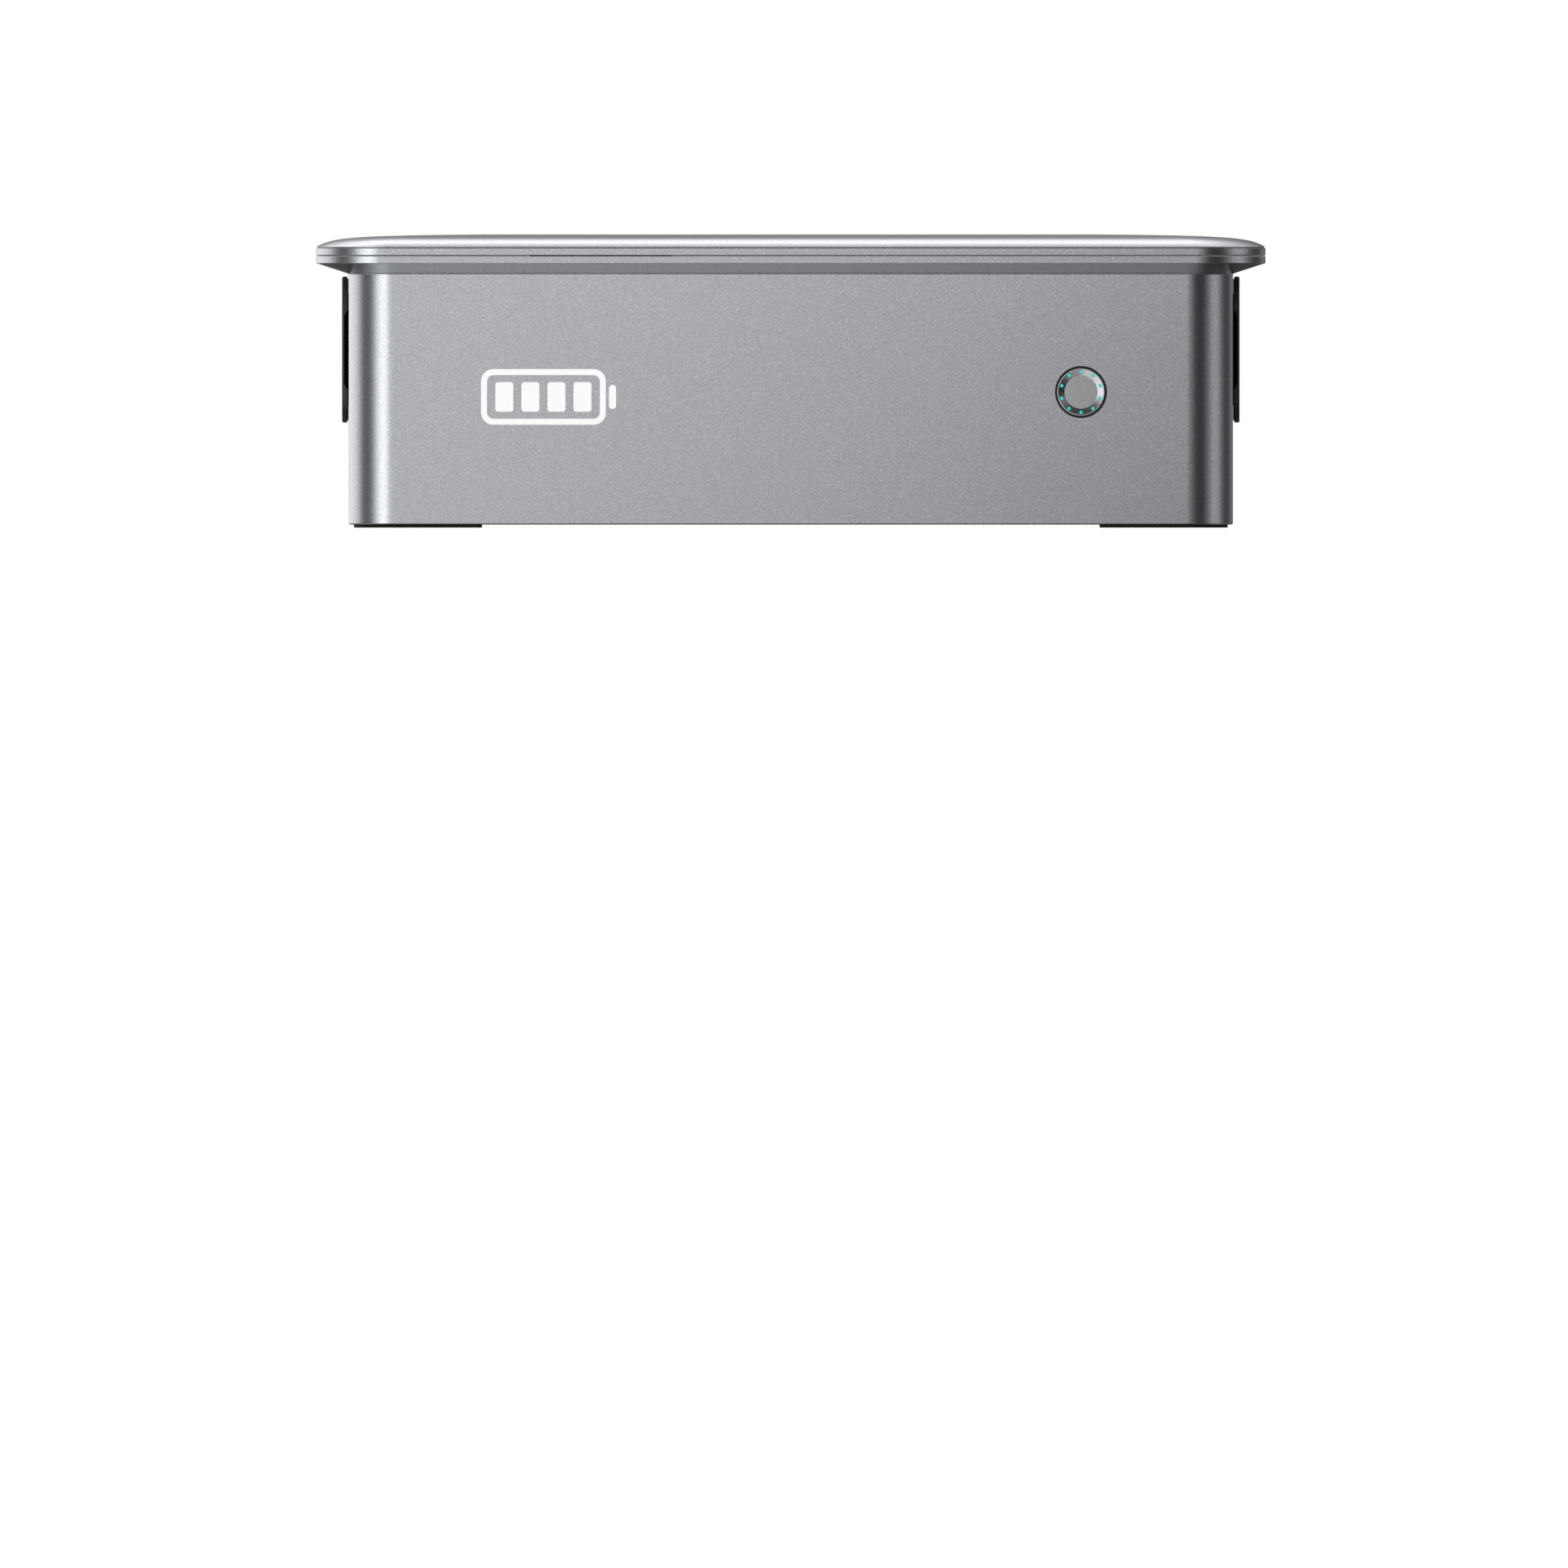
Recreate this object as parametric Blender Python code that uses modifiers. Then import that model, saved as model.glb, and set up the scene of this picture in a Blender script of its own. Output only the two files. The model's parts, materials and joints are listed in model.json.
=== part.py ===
"""A low, stackable home battery: an aluminium tub with a flared brim, a domed lift-off lid, a lit power
button on the front, a hinged port cover on each side, four foot pads and a cell pack with its electronics.

Run it with: blender --background --python part.py
Metres, +Z up. The front faces -Y. The origin is on the floor, under the middle of the unit.
"""

import math

import bmesh
import bpy
from mathutils import Matrix

# ---- Driving dimensions ------------------------------------------------------------------------------
LID_WIDTH = 0.350  # over the brim and the lid, along X
LID_DEPTH = 0.200  # over the brim and the lid, along Y
LID_TOP_Z = 0.1081
OVERHANG = 0.012  # the brim and the lid beyond the wall
BODY_RADIUS = 0.017  # plan corner radius of the wall
LID_RADIUS = 0.0255  # and of the lid and the brim
WALL = 0.0025
STAND = 0.0012  # the foot pads hold the floor of the tub this far up

BODY_WIDTH = LID_WIDTH - 2 * OVERHANG
BODY_DEPTH = LID_DEPTH - 2 * OVERHANG
HALF_WIDTH = BODY_WIDTH / 2
HALF_DEPTH = BODY_DEPTH / 2

GAP = 0.0003  # between pieces that touch
EASE = 0.0001  # between pieces that a seal or a bond holds together
CORNER_STEPS = 8  # facets round a corner of the shell and the lid
SMALL_CORNER_STEPS = 5  # and round a smaller piece's
ROUND_STEPS = 32

# ---- Heights of the tub and the lid ------------------------------------------------------------------
FLOOR_TOP_Z = STAND + WALL
FLARE_FOOT_Z = 0.0936  # where the wall turns outwards
FLARE_TOP_Z = 0.0975
BRIM_TOP_Z = 0.1002
LEDGE_Z = 0.0977  # the step inside the brim that carries the deck
LEDGE_OFFSET = 0.0065
GROOVE_OUTER, GROOVE_INNER, GROOVE_DEPTH = 0.0106, 0.0082, 0.0012  # for the lid seal, in the brim

LID_SEAT_Z = BRIM_TOP_Z + 0.00005
SHADOW_GAP = 0.0005  # the dark line between the brim and the lid
SHADOW_DEPTH = 0.0006
BAND_TOP_Z = 0.1031
PANEL_FOOT_Z = 0.10335
PANEL_THICKNESS = 0.0018
LID_FLOOR_TOP_Z = LID_SEAT_Z + 0.00135

# The dome falls towards its edge as the sum of a short steep curve and a long flat one.
DOME_STEEP_DROP, DOME_STEEP_REACH = 0.00272, 0.005
DOME_FLAT_DROP, DOME_FLAT_REACH = 0.00203, 0.025
DOME_STATIONS = (0.0, 0.0008, 0.002, 0.004, 0.007, 0.011, 0.016, 0.022, 0.028)
DOME_FLAT_FROM = 0.060

# ---- Deck and its screws -----------------------------------------------------------------------------
DECK_BOTTOM_Z, DECK_TOP_Z = 0.0984, 0.1000
DECK_OFFSET = LEDGE_OFFSET - 0.0002
BOSS_RADIUS, BOSS_FOOT_Z = 0.0045, 0.080
SCREW_HEAD_RADIUS, SCREW_HEAD_HEIGHT, SCREW_RADIUS, SCREW_LENGTH = 0.0028, 0.0014, 0.0015, 0.011
CORNER_BOSS = (HALF_WIDTH - 0.0085, HALF_DEPTH - 0.0085)
MIDDLE_BOSS_Y = HALF_DEPTH - 0.006
BOSS_PLACES = [(x * CORNER_BOSS[0], y * CORNER_BOSS[1]) for x in (-1, 1) for y in (-1, 1)]
BOSS_PLACES += [(0.0, -MIDDLE_BOSS_Y), (0.0, MIDDLE_BOSS_Y)]

# ---- Foot pads ---------------------------------------------------------------------------------------
FOOT_WIDTH, FOOT_DEPTH, FOOT_INSET = 0.0473, 0.026, 0.0019
FOOT_TOP_Z = 0.0020
FOOT_INNER_RADIUS = 0.003

# ---- Stacking connector: a contact block on the deck, a well under the floor -----------------------------
STACK_X, STACK_Y = -0.070, 0.0735
STACK_LENGTH, STACK_BREADTH, STACK_RADIUS = 0.058, 0.015, 0.002
STACK_FLANGE = 0.0035
PLUG_TOP_Z, PLUG_FOOT_Z = 0.1038, 0.090
PLUG_INSET, WELL_INSET = 0.003, 0.002  # the block stands clear of the walls of the well that it enters
SOCKET_TOP_Z, SOCKET_WELL_Z = 0.015, 0.0072
POCKET_ROOF = 0.001

# ---- Side port bays, in the frame of a wall: u along it, v up, w outwards from it ---------------------
BAY_Z = 0.06565
COVER_LENGTH, COVER_HEIGHT, COVER_RADIUS = 0.120, 0.0539, 0.012
COVER_BACK_W, COVER_FACE_W = 0.0005, 0.00245
BAY_LENGTH, BAY_HEIGHT, BAY_RADIUS = 0.119, 0.0519, 0.011
BAY_FLANGE = 0.003
BAY_SHELL = 0.0016
CAVITY_LENGTH, CAVITY_HEIGHT, CAVITY_RADIUS, CAVITY_FLOOR_W = 0.104, 0.0419, 0.007, -0.016
SKIRT_LENGTH, SKIRT_HEIGHT, SKIRT_RADIUS, SKIRT_TIP_W = 0.1034, 0.0413, 0.0067, -0.0012
SKIRT_THICKNESS = 0.0015
PORT_SEAL_LENGTH, PORT_SEAL_WIDTH = 0.114, 0.003
SCOOP_HEIGHT, SCOOP_DEPTH, SCOOP_REACH = 0.0293, 0.0012, 0.003
HINGE_U = COVER_LENGTH / 2 - 0.001
HINGE_W = (COVER_BACK_W + COVER_FACE_W) / 2
KNUCKLE_RADIUS = (COVER_FACE_W - COVER_BACK_W) / 2
KNUCKLE_INNER_V, KNUCKLE_OUTER_V = 0.0053, 0.0132
PIN_RADIUS, PIN_BORE_RADIUS = 0.0004, 0.0005
SOCKET_FACE_W, SOCKET_FOOT_W = -0.007, CAVITY_FLOOR_W + GAP
POWER_SOCKET = {"u": -0.024, "length": 0.036, "height": 0.022, "well": (0.029, 0.015)}
DATA_SOCKET = {"u": 0.026, "length": 0.022, "height": 0.019, "well": (0.015, 0.012)}
SOCKET_BASE = 0.0012

# ---- Power button, in the frame of the front wall: w outwards --------------------------------------------
BUTTON_X, BUTTON_Z = 0.107, 0.050
BUTTON_HOLE_RADIUS, RING_OUTER, RING_INNER = 0.0096, 0.0095, 0.00898
CAP_RADIUS, DISH_OUTER, DISH_INNER, DISH_DEPTH = 0.0088, 0.00835, 0.0061, 0.0010
LIGHT_COUNT, LIGHT_CIRCLE, LIGHT_RADIUS = 10, 0.00748, 0.00062

# ---- Cell pack -------------------------------------------------------------------------------------------
CELL_COUNT, CELL_PITCH = 8, 0.033
CELL_SIZE = (0.0324, 0.118, 0.062)
CELL_FOOT_Z = 0.0062
CELL_TOP_Z = CELL_FOOT_Z + CELL_SIZE[2]
TERMINAL_Y, TERMINAL_RADIUS, TERMINAL_HEIGHT = 0.040, 0.005, 0.002
END_PLATE_THICKNESS = 0.004
TRAY_WALL, TRAY_TOP_Z = 0.0016, 0.024
BOARD_THICKNESS = 0.0016
CONTACT_BOARD_Z = CELL_TOP_Z + TERMINAL_HEIGHT + GAP
BMS_Z = 0.0780

MATERIALS = {
    "shell_metal": ((0.44, 0.45, 0.47), 0.38, 0.9),
    "black_plastic": ((0.015, 0.016, 0.018), 0.45, 0.0),
    "grey_plastic": ((0.12, 0.12, 0.13), 0.5, 0.0),
    "rubber": ((0.012, 0.012, 0.012), 0.75, 0.0),
    "button_metal": ((0.42, 0.43, 0.45), 0.3, 0.9),
    "light_guide": ((0.05, 0.62, 0.60), 0.3, 0.0),
    "steel": ((0.55, 0.55, 0.56), 0.3, 1.0),
    "cell_can": ((0.05, 0.14, 0.33), 0.4, 0.1),
    "copper": ((0.72, 0.38, 0.22), 0.35, 1.0),
    "circuit_board": ((0.02, 0.16, 0.07), 0.5, 0.0),
    "heat_sink": ((0.6, 0.6, 0.62), 0.45, 1.0),
    "cable_red": ((0.5, 0.02, 0.02), 0.5, 0.0),
    "cable_black": ((0.02, 0.02, 0.02), 0.5, 0.0),
}


# ---- Scene helpers -----------------------------------------------------------------------------------
def clear_scene():
    for obj in list(bpy.data.objects):
        bpy.data.objects.remove(obj)


def new_collection(name):
    collection = bpy.data.collections.new(name)
    bpy.context.scene.collection.children.link(collection)
    return collection


def make_materials():
    for name, (colour, roughness, metallic) in MATERIALS.items():
        material = bpy.data.materials.new(name)
        material.use_nodes = True
        shader = material.node_tree.nodes["Principled BSDF"]
        shader.inputs["Base Color"].default_value = (*colour, 1.0)
        shader.inputs["Roughness"].default_value = roughness
        shader.inputs["Metallic"].default_value = metallic


def place(name, mesh, material, parent=None):
    """A mesh as a named piece of the unit. With no material it is a cutter or a helper, not a piece."""
    obj = bpy.data.objects.new(name, mesh)
    obj.parent = parent
    if material is None:
        HELPERS.objects.link(obj)
        obj.hide_render = True
        obj.display_type = "WIRE"
        return obj
    PIECES.objects.link(obj)
    mesh.shade_smooth()
    mesh.set_sharp_from_angle(angle=math.radians(35))
    mesh.materials.append(bpy.data.materials[material])
    return obj


def wall_frame(name, x, y, z, heading):
    """An empty on a wall, its Z out of the wall and its Y up. Heading is the turn about the unit's Z."""
    empty = bpy.data.objects.new(name, None)
    empty.location = (x, y, z)
    empty.rotation_euler = (math.pi / 2, 0.0, heading)
    PIECES.objects.link(empty)
    return empty


def mesh_from(shape, name):
    bmesh.ops.recalc_face_normals(shape, faces=shape.faces)
    mesh = bpy.data.meshes.new(name)
    shape.to_mesh(mesh)
    shape.free()
    return mesh


def boolean(obj, other, operation):
    modifier = obj.modifiers.new(operation.lower(), "BOOLEAN")
    modifier.operation = operation
    modifier.solver = "EXACT"
    modifier.object = other


def cut(obj, *cutters):
    for cutter in cutters:
        boolean(obj, cutter, "DIFFERENCE")


def join(obj, *others):
    for other in others:
        boolean(obj, other, "UNION")


def copies(mesh, names, places):
    """Pieces that share one mesh, at the given places."""
    for name, location in zip(names, places):
        obj = bpy.data.objects.new(name, mesh)
        obj.location = location
        PIECES.objects.link(obj)


def freeze(obj):
    """The object's shape with its modifiers applied, as a mesh for copies. The object itself is removed."""
    bpy.context.view_layer.update()
    graph = bpy.context.evaluated_depsgraph_get()
    mesh = bpy.data.meshes.new_from_object(obj.evaluated_get(graph))
    bpy.data.objects.remove(obj)
    return mesh


# ---- Shapes ------------------------------------------------------------------------------------------
def rounded_rect(width, depth, radii, steps=SMALL_CORNER_STEPS):
    """Points of a rounded rectangle, anticlockwise. Radii: one, or four from the +X +Y corner round."""
    if not isinstance(radii, tuple):
        radii = (radii,) * 4
    points = []
    for corner, radius in enumerate(radii):
        centre_x = (1, -1, -1, 1)[corner] * (width / 2 - radius)
        centre_y = (1, 1, -1, -1)[corner] * (depth / 2 - radius)
        for step in range(steps + 1):
            angle = math.radians(90 * (corner + step / steps))
            points.append((centre_x + radius * math.cos(angle), centre_y + radius * math.sin(angle)))
    return points


def outline(offset):
    """The plan outline of the tub's wall, moved outwards by offset. Its corner opens less than its sides."""
    size = (BODY_WIDTH + 2 * offset, BODY_DEPTH + 2 * offset)
    opening = (LID_RADIUS - BODY_RADIUS) / OVERHANG if offset > 0 else 1.0
    return rounded_rect(*size, BODY_RADIUS + opening * offset, CORNER_STEPS)


def loft(name, sections, material, parent=None, centre=(0.0, 0.0), ring=False):
    """A closed solid through (points, height) sections: capped at both ends, or joined up as a ring."""
    shape = bmesh.new()
    loops = [
        [shape.verts.new((x + centre[0], y + centre[1], z)) for x, y in points] for points, z in sections
    ]
    for lower, upper in zip(loops, loops[1:] + loops[:1] if ring else loops[1:]):
        for i in range(len(lower)):
            after = (i + 1) % len(lower)
            shape.faces.new((lower[i], lower[after], upper[after], upper[i]))
    if not ring:
        shape.faces.new(loops[0])
        shape.faces.new(loops[-1])
    return place(name, mesh_from(shape, name), material, parent)


def slab(name, size, radii, low, high, material, parent=None, centre=(0.0, 0.0)):
    """An upright prism with a rounded-rectangle outline."""
    points = rounded_rect(size[0], size[1], radii)
    return loft(name, [(points, low), (points, high)], material, parent, centre)


def seal_ring(name, outer, inner, low, high, material, parent=None):
    """A flat ring between two outlines."""
    return loft(
        name, [(outer, low), (outer, high), (inner, high), (inner, low)], material, parent, ring=True
    )


def block(name, size, centre, material, parent=None, bevel=0.0, turn=None):
    """A box with bevelled edges, turned about its centre if turn is a rotation matrix."""
    shape = bmesh.new()
    bmesh.ops.create_cube(shape, size=1.0, matrix=Matrix.Diagonal((*size, 1.0)))
    if bevel:
        bmesh.ops.bevel(shape, geom=shape.edges[:], offset=bevel, segments=1, affect="EDGES")
    placed = Matrix.Translation(centre) @ (turn or Matrix.Identity(4))
    bmesh.ops.transform(shape, matrix=placed, verts=shape.verts)
    return place(name, mesh_from(shape, name), material, parent)


def group(name, material, parent, parts):
    """One mesh of separate boxes and rods, for cutting or joining many at once."""
    shape = bmesh.new()
    for kind, size, centre in parts:
        at = Matrix.Translation(centre)
        if kind == "box":
            bmesh.ops.create_cube(shape, size=1.0, matrix=at @ Matrix.Diagonal((*size, 1.0)))
        else:
            radius, depth, steps = size
            bmesh.ops.create_cone(
                shape, cap_ends=True, segments=steps, radius1=radius, radius2=radius, depth=depth, matrix=at
            )
    return place(name, mesh_from(shape, name), material, parent)


def rod(name, radius, low, high, material, parent=None, centre=(0.0, 0.0), steps=16):
    """A cylinder along the frame's Z."""
    middle = (centre[0], centre[1], (low + high) / 2)
    return group(name, material, parent, [("rod", (radius, high - low, steps), middle)])


def cross_rod(name, radius, low, high, material, parent, at):
    """A cylinder along the frame's Y, at (x, z), from low to high."""
    shape = bmesh.new()
    turned_over = Matrix.Rotation(math.pi / 2, 4, "X")
    middle = Matrix.Translation((at[0], (low + high) / 2, at[1]))
    bmesh.ops.create_cone(
        shape, cap_ends=True, segments=12, radius1=radius, radius2=radius, depth=high - low,
        matrix=middle @ turned_over,
    )
    return place(name, mesh_from(shape, name), material, parent)


def turned(name, profile, material, parent=None, location=(0.0, 0.0, 0.0), steps=ROUND_STEPS, closed=False):
    """A profile of (radius, height) points, from the top down its outer side, spun about the frame's Z."""
    shape = bmesh.new()
    points = [shape.verts.new((radius, 0.0, height)) for radius, height in profile]
    for first, second in zip(points, points[1:] + points[:1] if closed else points[1:]):
        shape.edges.new((first, second))
    mesh = bpy.data.meshes.new(name)
    shape.to_mesh(mesh)
    shape.free()
    obj = place(name, mesh, material, parent)
    obj.location = location
    screw = obj.modifiers.new("spin", "SCREW")
    screw.steps = screw.render_steps = steps
    screw.use_merge_vertices = True
    screw.merge_threshold = 0.00001
    return obj


def ring_of(count, radius, height):
    """Places evenly round a circle, the first at the top."""
    for i in range(count):
        angle = math.radians(90 + 360 * i / count)
        yield (radius * math.cos(angle), radius * math.sin(angle), height)


# ---- Tub, deck and feet ------------------------------------------------------------------------------
def make_tub():
    """The cast tub: rounded foot, wall, flare, brim with its seal groove, deck ledge and inside walls."""
    edge = 0.0006
    levels = [
        (-edge, STAND),
        (-0.3 * edge, STAND + 0.3 * edge),
        (0.0, STAND + edge),
        (0.0, FLARE_FOOT_Z),
        (OVERHANG, FLARE_TOP_Z),
        (OVERHANG, BRIM_TOP_Z - 0.0002),
        (OVERHANG - 0.0002, BRIM_TOP_Z),
        (GROOVE_OUTER, BRIM_TOP_Z),
        (GROOVE_OUTER, BRIM_TOP_Z - GROOVE_DEPTH),
        (GROOVE_INNER, BRIM_TOP_Z - GROOVE_DEPTH),
        (GROOVE_INNER, BRIM_TOP_Z),
        (LEDGE_OFFSET, BRIM_TOP_Z),
        (LEDGE_OFFSET, LEDGE_Z),
        (-WALL, LEDGE_Z),
        (-WALL, FLOOR_TOP_Z),
    ]
    tub = loft("enclosure_tub", [(outline(offset), z) for offset, z in levels], "shell_metal")
    for i, place_xy in enumerate(BOSS_PLACES):
        join(tub, rod(f"boss_{i}", BOSS_RADIUS, BOSS_FOOT_Z, LEDGE_Z - 0.00005, None, centre=place_xy))
    depth = SCREW_LENGTH + 0.002
    size = (SCREW_RADIUS + 0.00015, depth, 12)
    holes = [("rod", size, (x, y, LEDGE_Z - depth / 2)) for x, y in BOSS_PLACES]
    cut(tub, group("boss_holes", None, None, holes))
    return tub


def make_feet(tub):
    """Four pads glued into shallow pockets, each with the body's radius at its outer corner."""
    outer_radius = BODY_RADIUS - FOOT_INSET
    centre_x = HALF_WIDTH - FOOT_INSET - FOOT_WIDTH / 2
    centre_y = HALF_DEPTH - FOOT_INSET - FOOT_DEPTH / 2
    corners = {"rear_right": (1, 1), "rear_left": (-1, 1), "front_left": (-1, -1), "front_right": (1, -1)}
    for corner, (name, (side_x, side_y)) in enumerate(corners.items()):
        radii = tuple(outer_radius if i == corner else FOOT_INNER_RADIUS for i in range(4))
        centre = (side_x * centre_x, side_y * centre_y)
        chamfer = 0.0002
        pad = rounded_rect(FOOT_WIDTH, FOOT_DEPTH, radii)
        sole = rounded_rect(
            FOOT_WIDTH - 2 * chamfer, FOOT_DEPTH - 2 * chamfer, tuple(r - chamfer for r in radii)
        )
        loft(f"foot_{name}", [(sole, 0.0), (pad, chamfer), (pad, FOOT_TOP_Z)], "rubber", centre=centre)
        room = (FOOT_WIDTH + 2 * GAP, FOOT_DEPTH + 2 * GAP)
        wide = tuple(r + GAP for r in radii)
        cut(tub, slab(f"pocket_{name}", room, wide, STAND - 0.001, FOOT_TOP_Z + GAP, None, centre=centre))


def make_deck():
    """The plate under the lid, its seal on the ledge, and its six countersunk screws."""
    edge = outline(DECK_OFFSET)
    deck = loft("deck_plate", [(edge, DECK_BOTTOM_Z), (edge, DECK_TOP_Z)], "grey_plastic")
    seal_ring(
        "deck_seal", outline(DECK_OFFSET - 0.0002), outline(-WALL + 0.0003), LEDGE_Z + EASE / 2,
        DECK_BOTTOM_Z - EASE / 2, "rubber",
    )
    clearance = 0.0002
    for i, (x, y) in enumerate(BOSS_PLACES):
        hole = turned(
            f"countersink_{i}",
            [
                (0.0, DECK_TOP_Z + 0.001),
                (SCREW_HEAD_RADIUS + clearance, DECK_TOP_Z + 0.001),
                (SCREW_HEAD_RADIUS + clearance, DECK_TOP_Z),
                (SCREW_RADIUS + clearance, DECK_TOP_Z - SCREW_HEAD_HEIGHT),
                (SCREW_RADIUS + clearance, DECK_BOTTOM_Z - 0.001),
                (0.0, DECK_BOTTOM_Z - 0.001),
            ],
            None, location=(x, y, 0.0), steps=16,
        )
        cut(deck, hole)
    head_z = DECK_TOP_Z - 0.00005
    screw = turned(
        "screw_pattern",
        [
            (0.0, head_z),
            (SCREW_HEAD_RADIUS, head_z),
            (SCREW_RADIUS, head_z - SCREW_HEAD_HEIGHT),
            (SCREW_RADIUS, head_z - SCREW_LENGTH),
            (0.0, head_z - SCREW_LENGTH),
        ],
        "steel", steps=12,
    )
    names = [f"deck_screw_{i + 1}" for i in range(len(BOSS_PLACES))]
    copies(freeze(screw), names, [(x, y, 0.0) for x, y in BOSS_PLACES])
    return deck


# ---- Lid ---------------------------------------------------------------------------------------------
def dome_height(inward):
    """Height of the lid's outer surface at a distance inward from its edge."""
    steep = DOME_STEEP_DROP * math.exp(-inward / DOME_STEEP_REACH)
    flat = DOME_FLAT_DROP * math.exp(-inward / DOME_FLAT_REACH)
    return LID_TOP_Z - steep - flat


def dome_outline(inward):
    """Plan outline of the lid at a distance inward from its edge, with a corner that never gets sharp."""
    radius = max(LID_RADIUS - inward, 0.002)
    return rounded_rect(LID_WIDTH - 2 * inward, LID_DEPTH - 2 * inward, radius, CORNER_STEPS)


def make_lid():
    """A domed panel bonded to a shallow frame, and the seal that it closes on."""
    outer = [(dome_outline(0.0), PANEL_FOOT_Z)]
    outer += [(dome_outline(d), max(dome_height(d), PANEL_FOOT_Z + 0.00005)) for d in DOME_STATIONS[1:]]
    outer.append((dome_outline(DOME_FLAT_FROM), LID_TOP_Z))
    inner = [(dome_outline(d), dome_height(d) - PANEL_THICKNESS) for d in DOME_STATIONS if d > 0.005]
    inner.append((dome_outline(DOME_FLAT_FROM), LID_TOP_Z - PANEL_THICKNESS))
    rim = [(dome_outline(0.0055), PANEL_FOOT_Z)]
    loft("lid_panel", list(reversed(inner)) + rim + outer, "shell_metal")

    step = OVERHANG - SHADOW_DEPTH
    levels = [
        (step, LID_SEAT_Z),
        (step, LID_SEAT_Z + SHADOW_GAP),
        (OVERHANG - 0.0001, LID_SEAT_Z + SHADOW_GAP),
        (OVERHANG, LID_SEAT_Z + SHADOW_GAP + 0.0001),
        (OVERHANG, BAND_TOP_Z - 0.0001),
        (OVERHANG - 0.0001, BAND_TOP_Z),
        (step, BAND_TOP_Z),
        (step, PANEL_FOOT_Z - EASE / 2),
        (step - 0.002, PANEL_FOOT_Z - EASE / 2),
        (step - 0.002, LID_FLOOR_TOP_Z),
    ]
    frame = loft("lid_frame", [(outline(offset), z) for offset, z in levels], "shell_metal")
    room = 0.0015 - PLUG_INSET
    inside = (STACK_LENGTH + 2 * room, STACK_BREADTH + 2 * room)
    hood = (inside[0] + 2 * POCKET_ROOF, inside[1] + 2 * POCKET_ROOF)
    centre = (STACK_X, STACK_Y)
    roof = PLUG_TOP_Z + GAP
    join(frame, slab("hood", hood, 0.003, LID_SEAT_Z + 0.0005, roof + POCKET_ROOF, None, centre=centre))
    cut(frame, slab("hood_room", inside, 0.002, LID_SEAT_Z - 0.001, roof, None, centre=centre))
    low = BRIM_TOP_Z - GROOVE_DEPTH + EASE
    seal_ring(
        "lid_seal", outline(GROOVE_OUTER - 2 * EASE), outline(GROOVE_INNER + 2 * EASE), low,
        BRIM_TOP_Z - 0.00005, "rubber",
    )


# ---- Stacking connector ------------------------------------------------------------------------------
def stack_outline(grow):
    return rounded_rect(STACK_LENGTH + 2 * grow, STACK_BREADTH + 2 * grow, max(STACK_RADIUS + grow, 0.0008))


def make_stack_connector(tub, deck):
    """The contact block through the deck, the well in the floor, and the bar that links them."""
    centre = (STACK_X, STACK_Y)
    flange_top = DECK_BOTTOM_Z - EASE
    flange_foot = flange_top - 0.002
    loft(
        "stack_plug_top",
        [
            (stack_outline(0.0), PLUG_FOOT_Z),
            (stack_outline(0.0), flange_foot),
            (stack_outline(STACK_FLANGE), flange_foot),
            (stack_outline(STACK_FLANGE), flange_top),
            (stack_outline(-PLUG_INSET), flange_top),
            (stack_outline(-PLUG_INSET), PLUG_TOP_Z - 0.0006),
            (stack_outline(-PLUG_INSET - 0.0006), PLUG_TOP_Z),
        ],
        "black_plastic", centre=centre,
    )
    hole = stack_outline(GAP - PLUG_INSET)
    cut(deck, loft("plug_hole", [(hole, 0.095), (hole, 0.102)], None, centre=centre))

    face_z = STAND + 0.0004
    seat = FLOOR_TOP_Z + EASE
    loft(
        "stack_socket_bottom",
        [
            (stack_outline(-WELL_INSET), SOCKET_WELL_Z),
            (stack_outline(-WELL_INSET), face_z),
            (stack_outline(0.0), face_z),
            (stack_outline(0.0), seat),
            (stack_outline(STACK_FLANGE), seat),
            (stack_outline(STACK_FLANGE), seat + 0.002),
            (stack_outline(0.0), seat + 0.002),
            (stack_outline(0.0), SOCKET_TOP_Z),
        ],
        "black_plastic", centre=centre,
    )
    hole = stack_outline(GAP)
    cut(tub, loft("socket_hole", [(hole, 0.0), (hole, FLOOR_TOP_Z + 0.001)], None, centre=centre))
    low, high = SOCKET_TOP_Z + GAP, PLUG_FOOT_Z - GAP
    size = (0.042, 0.004, high - low)
    block("stack_busbar", size, (STACK_X, STACK_Y, (low + high) / 2), "copper", bevel=0.0004)


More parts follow.
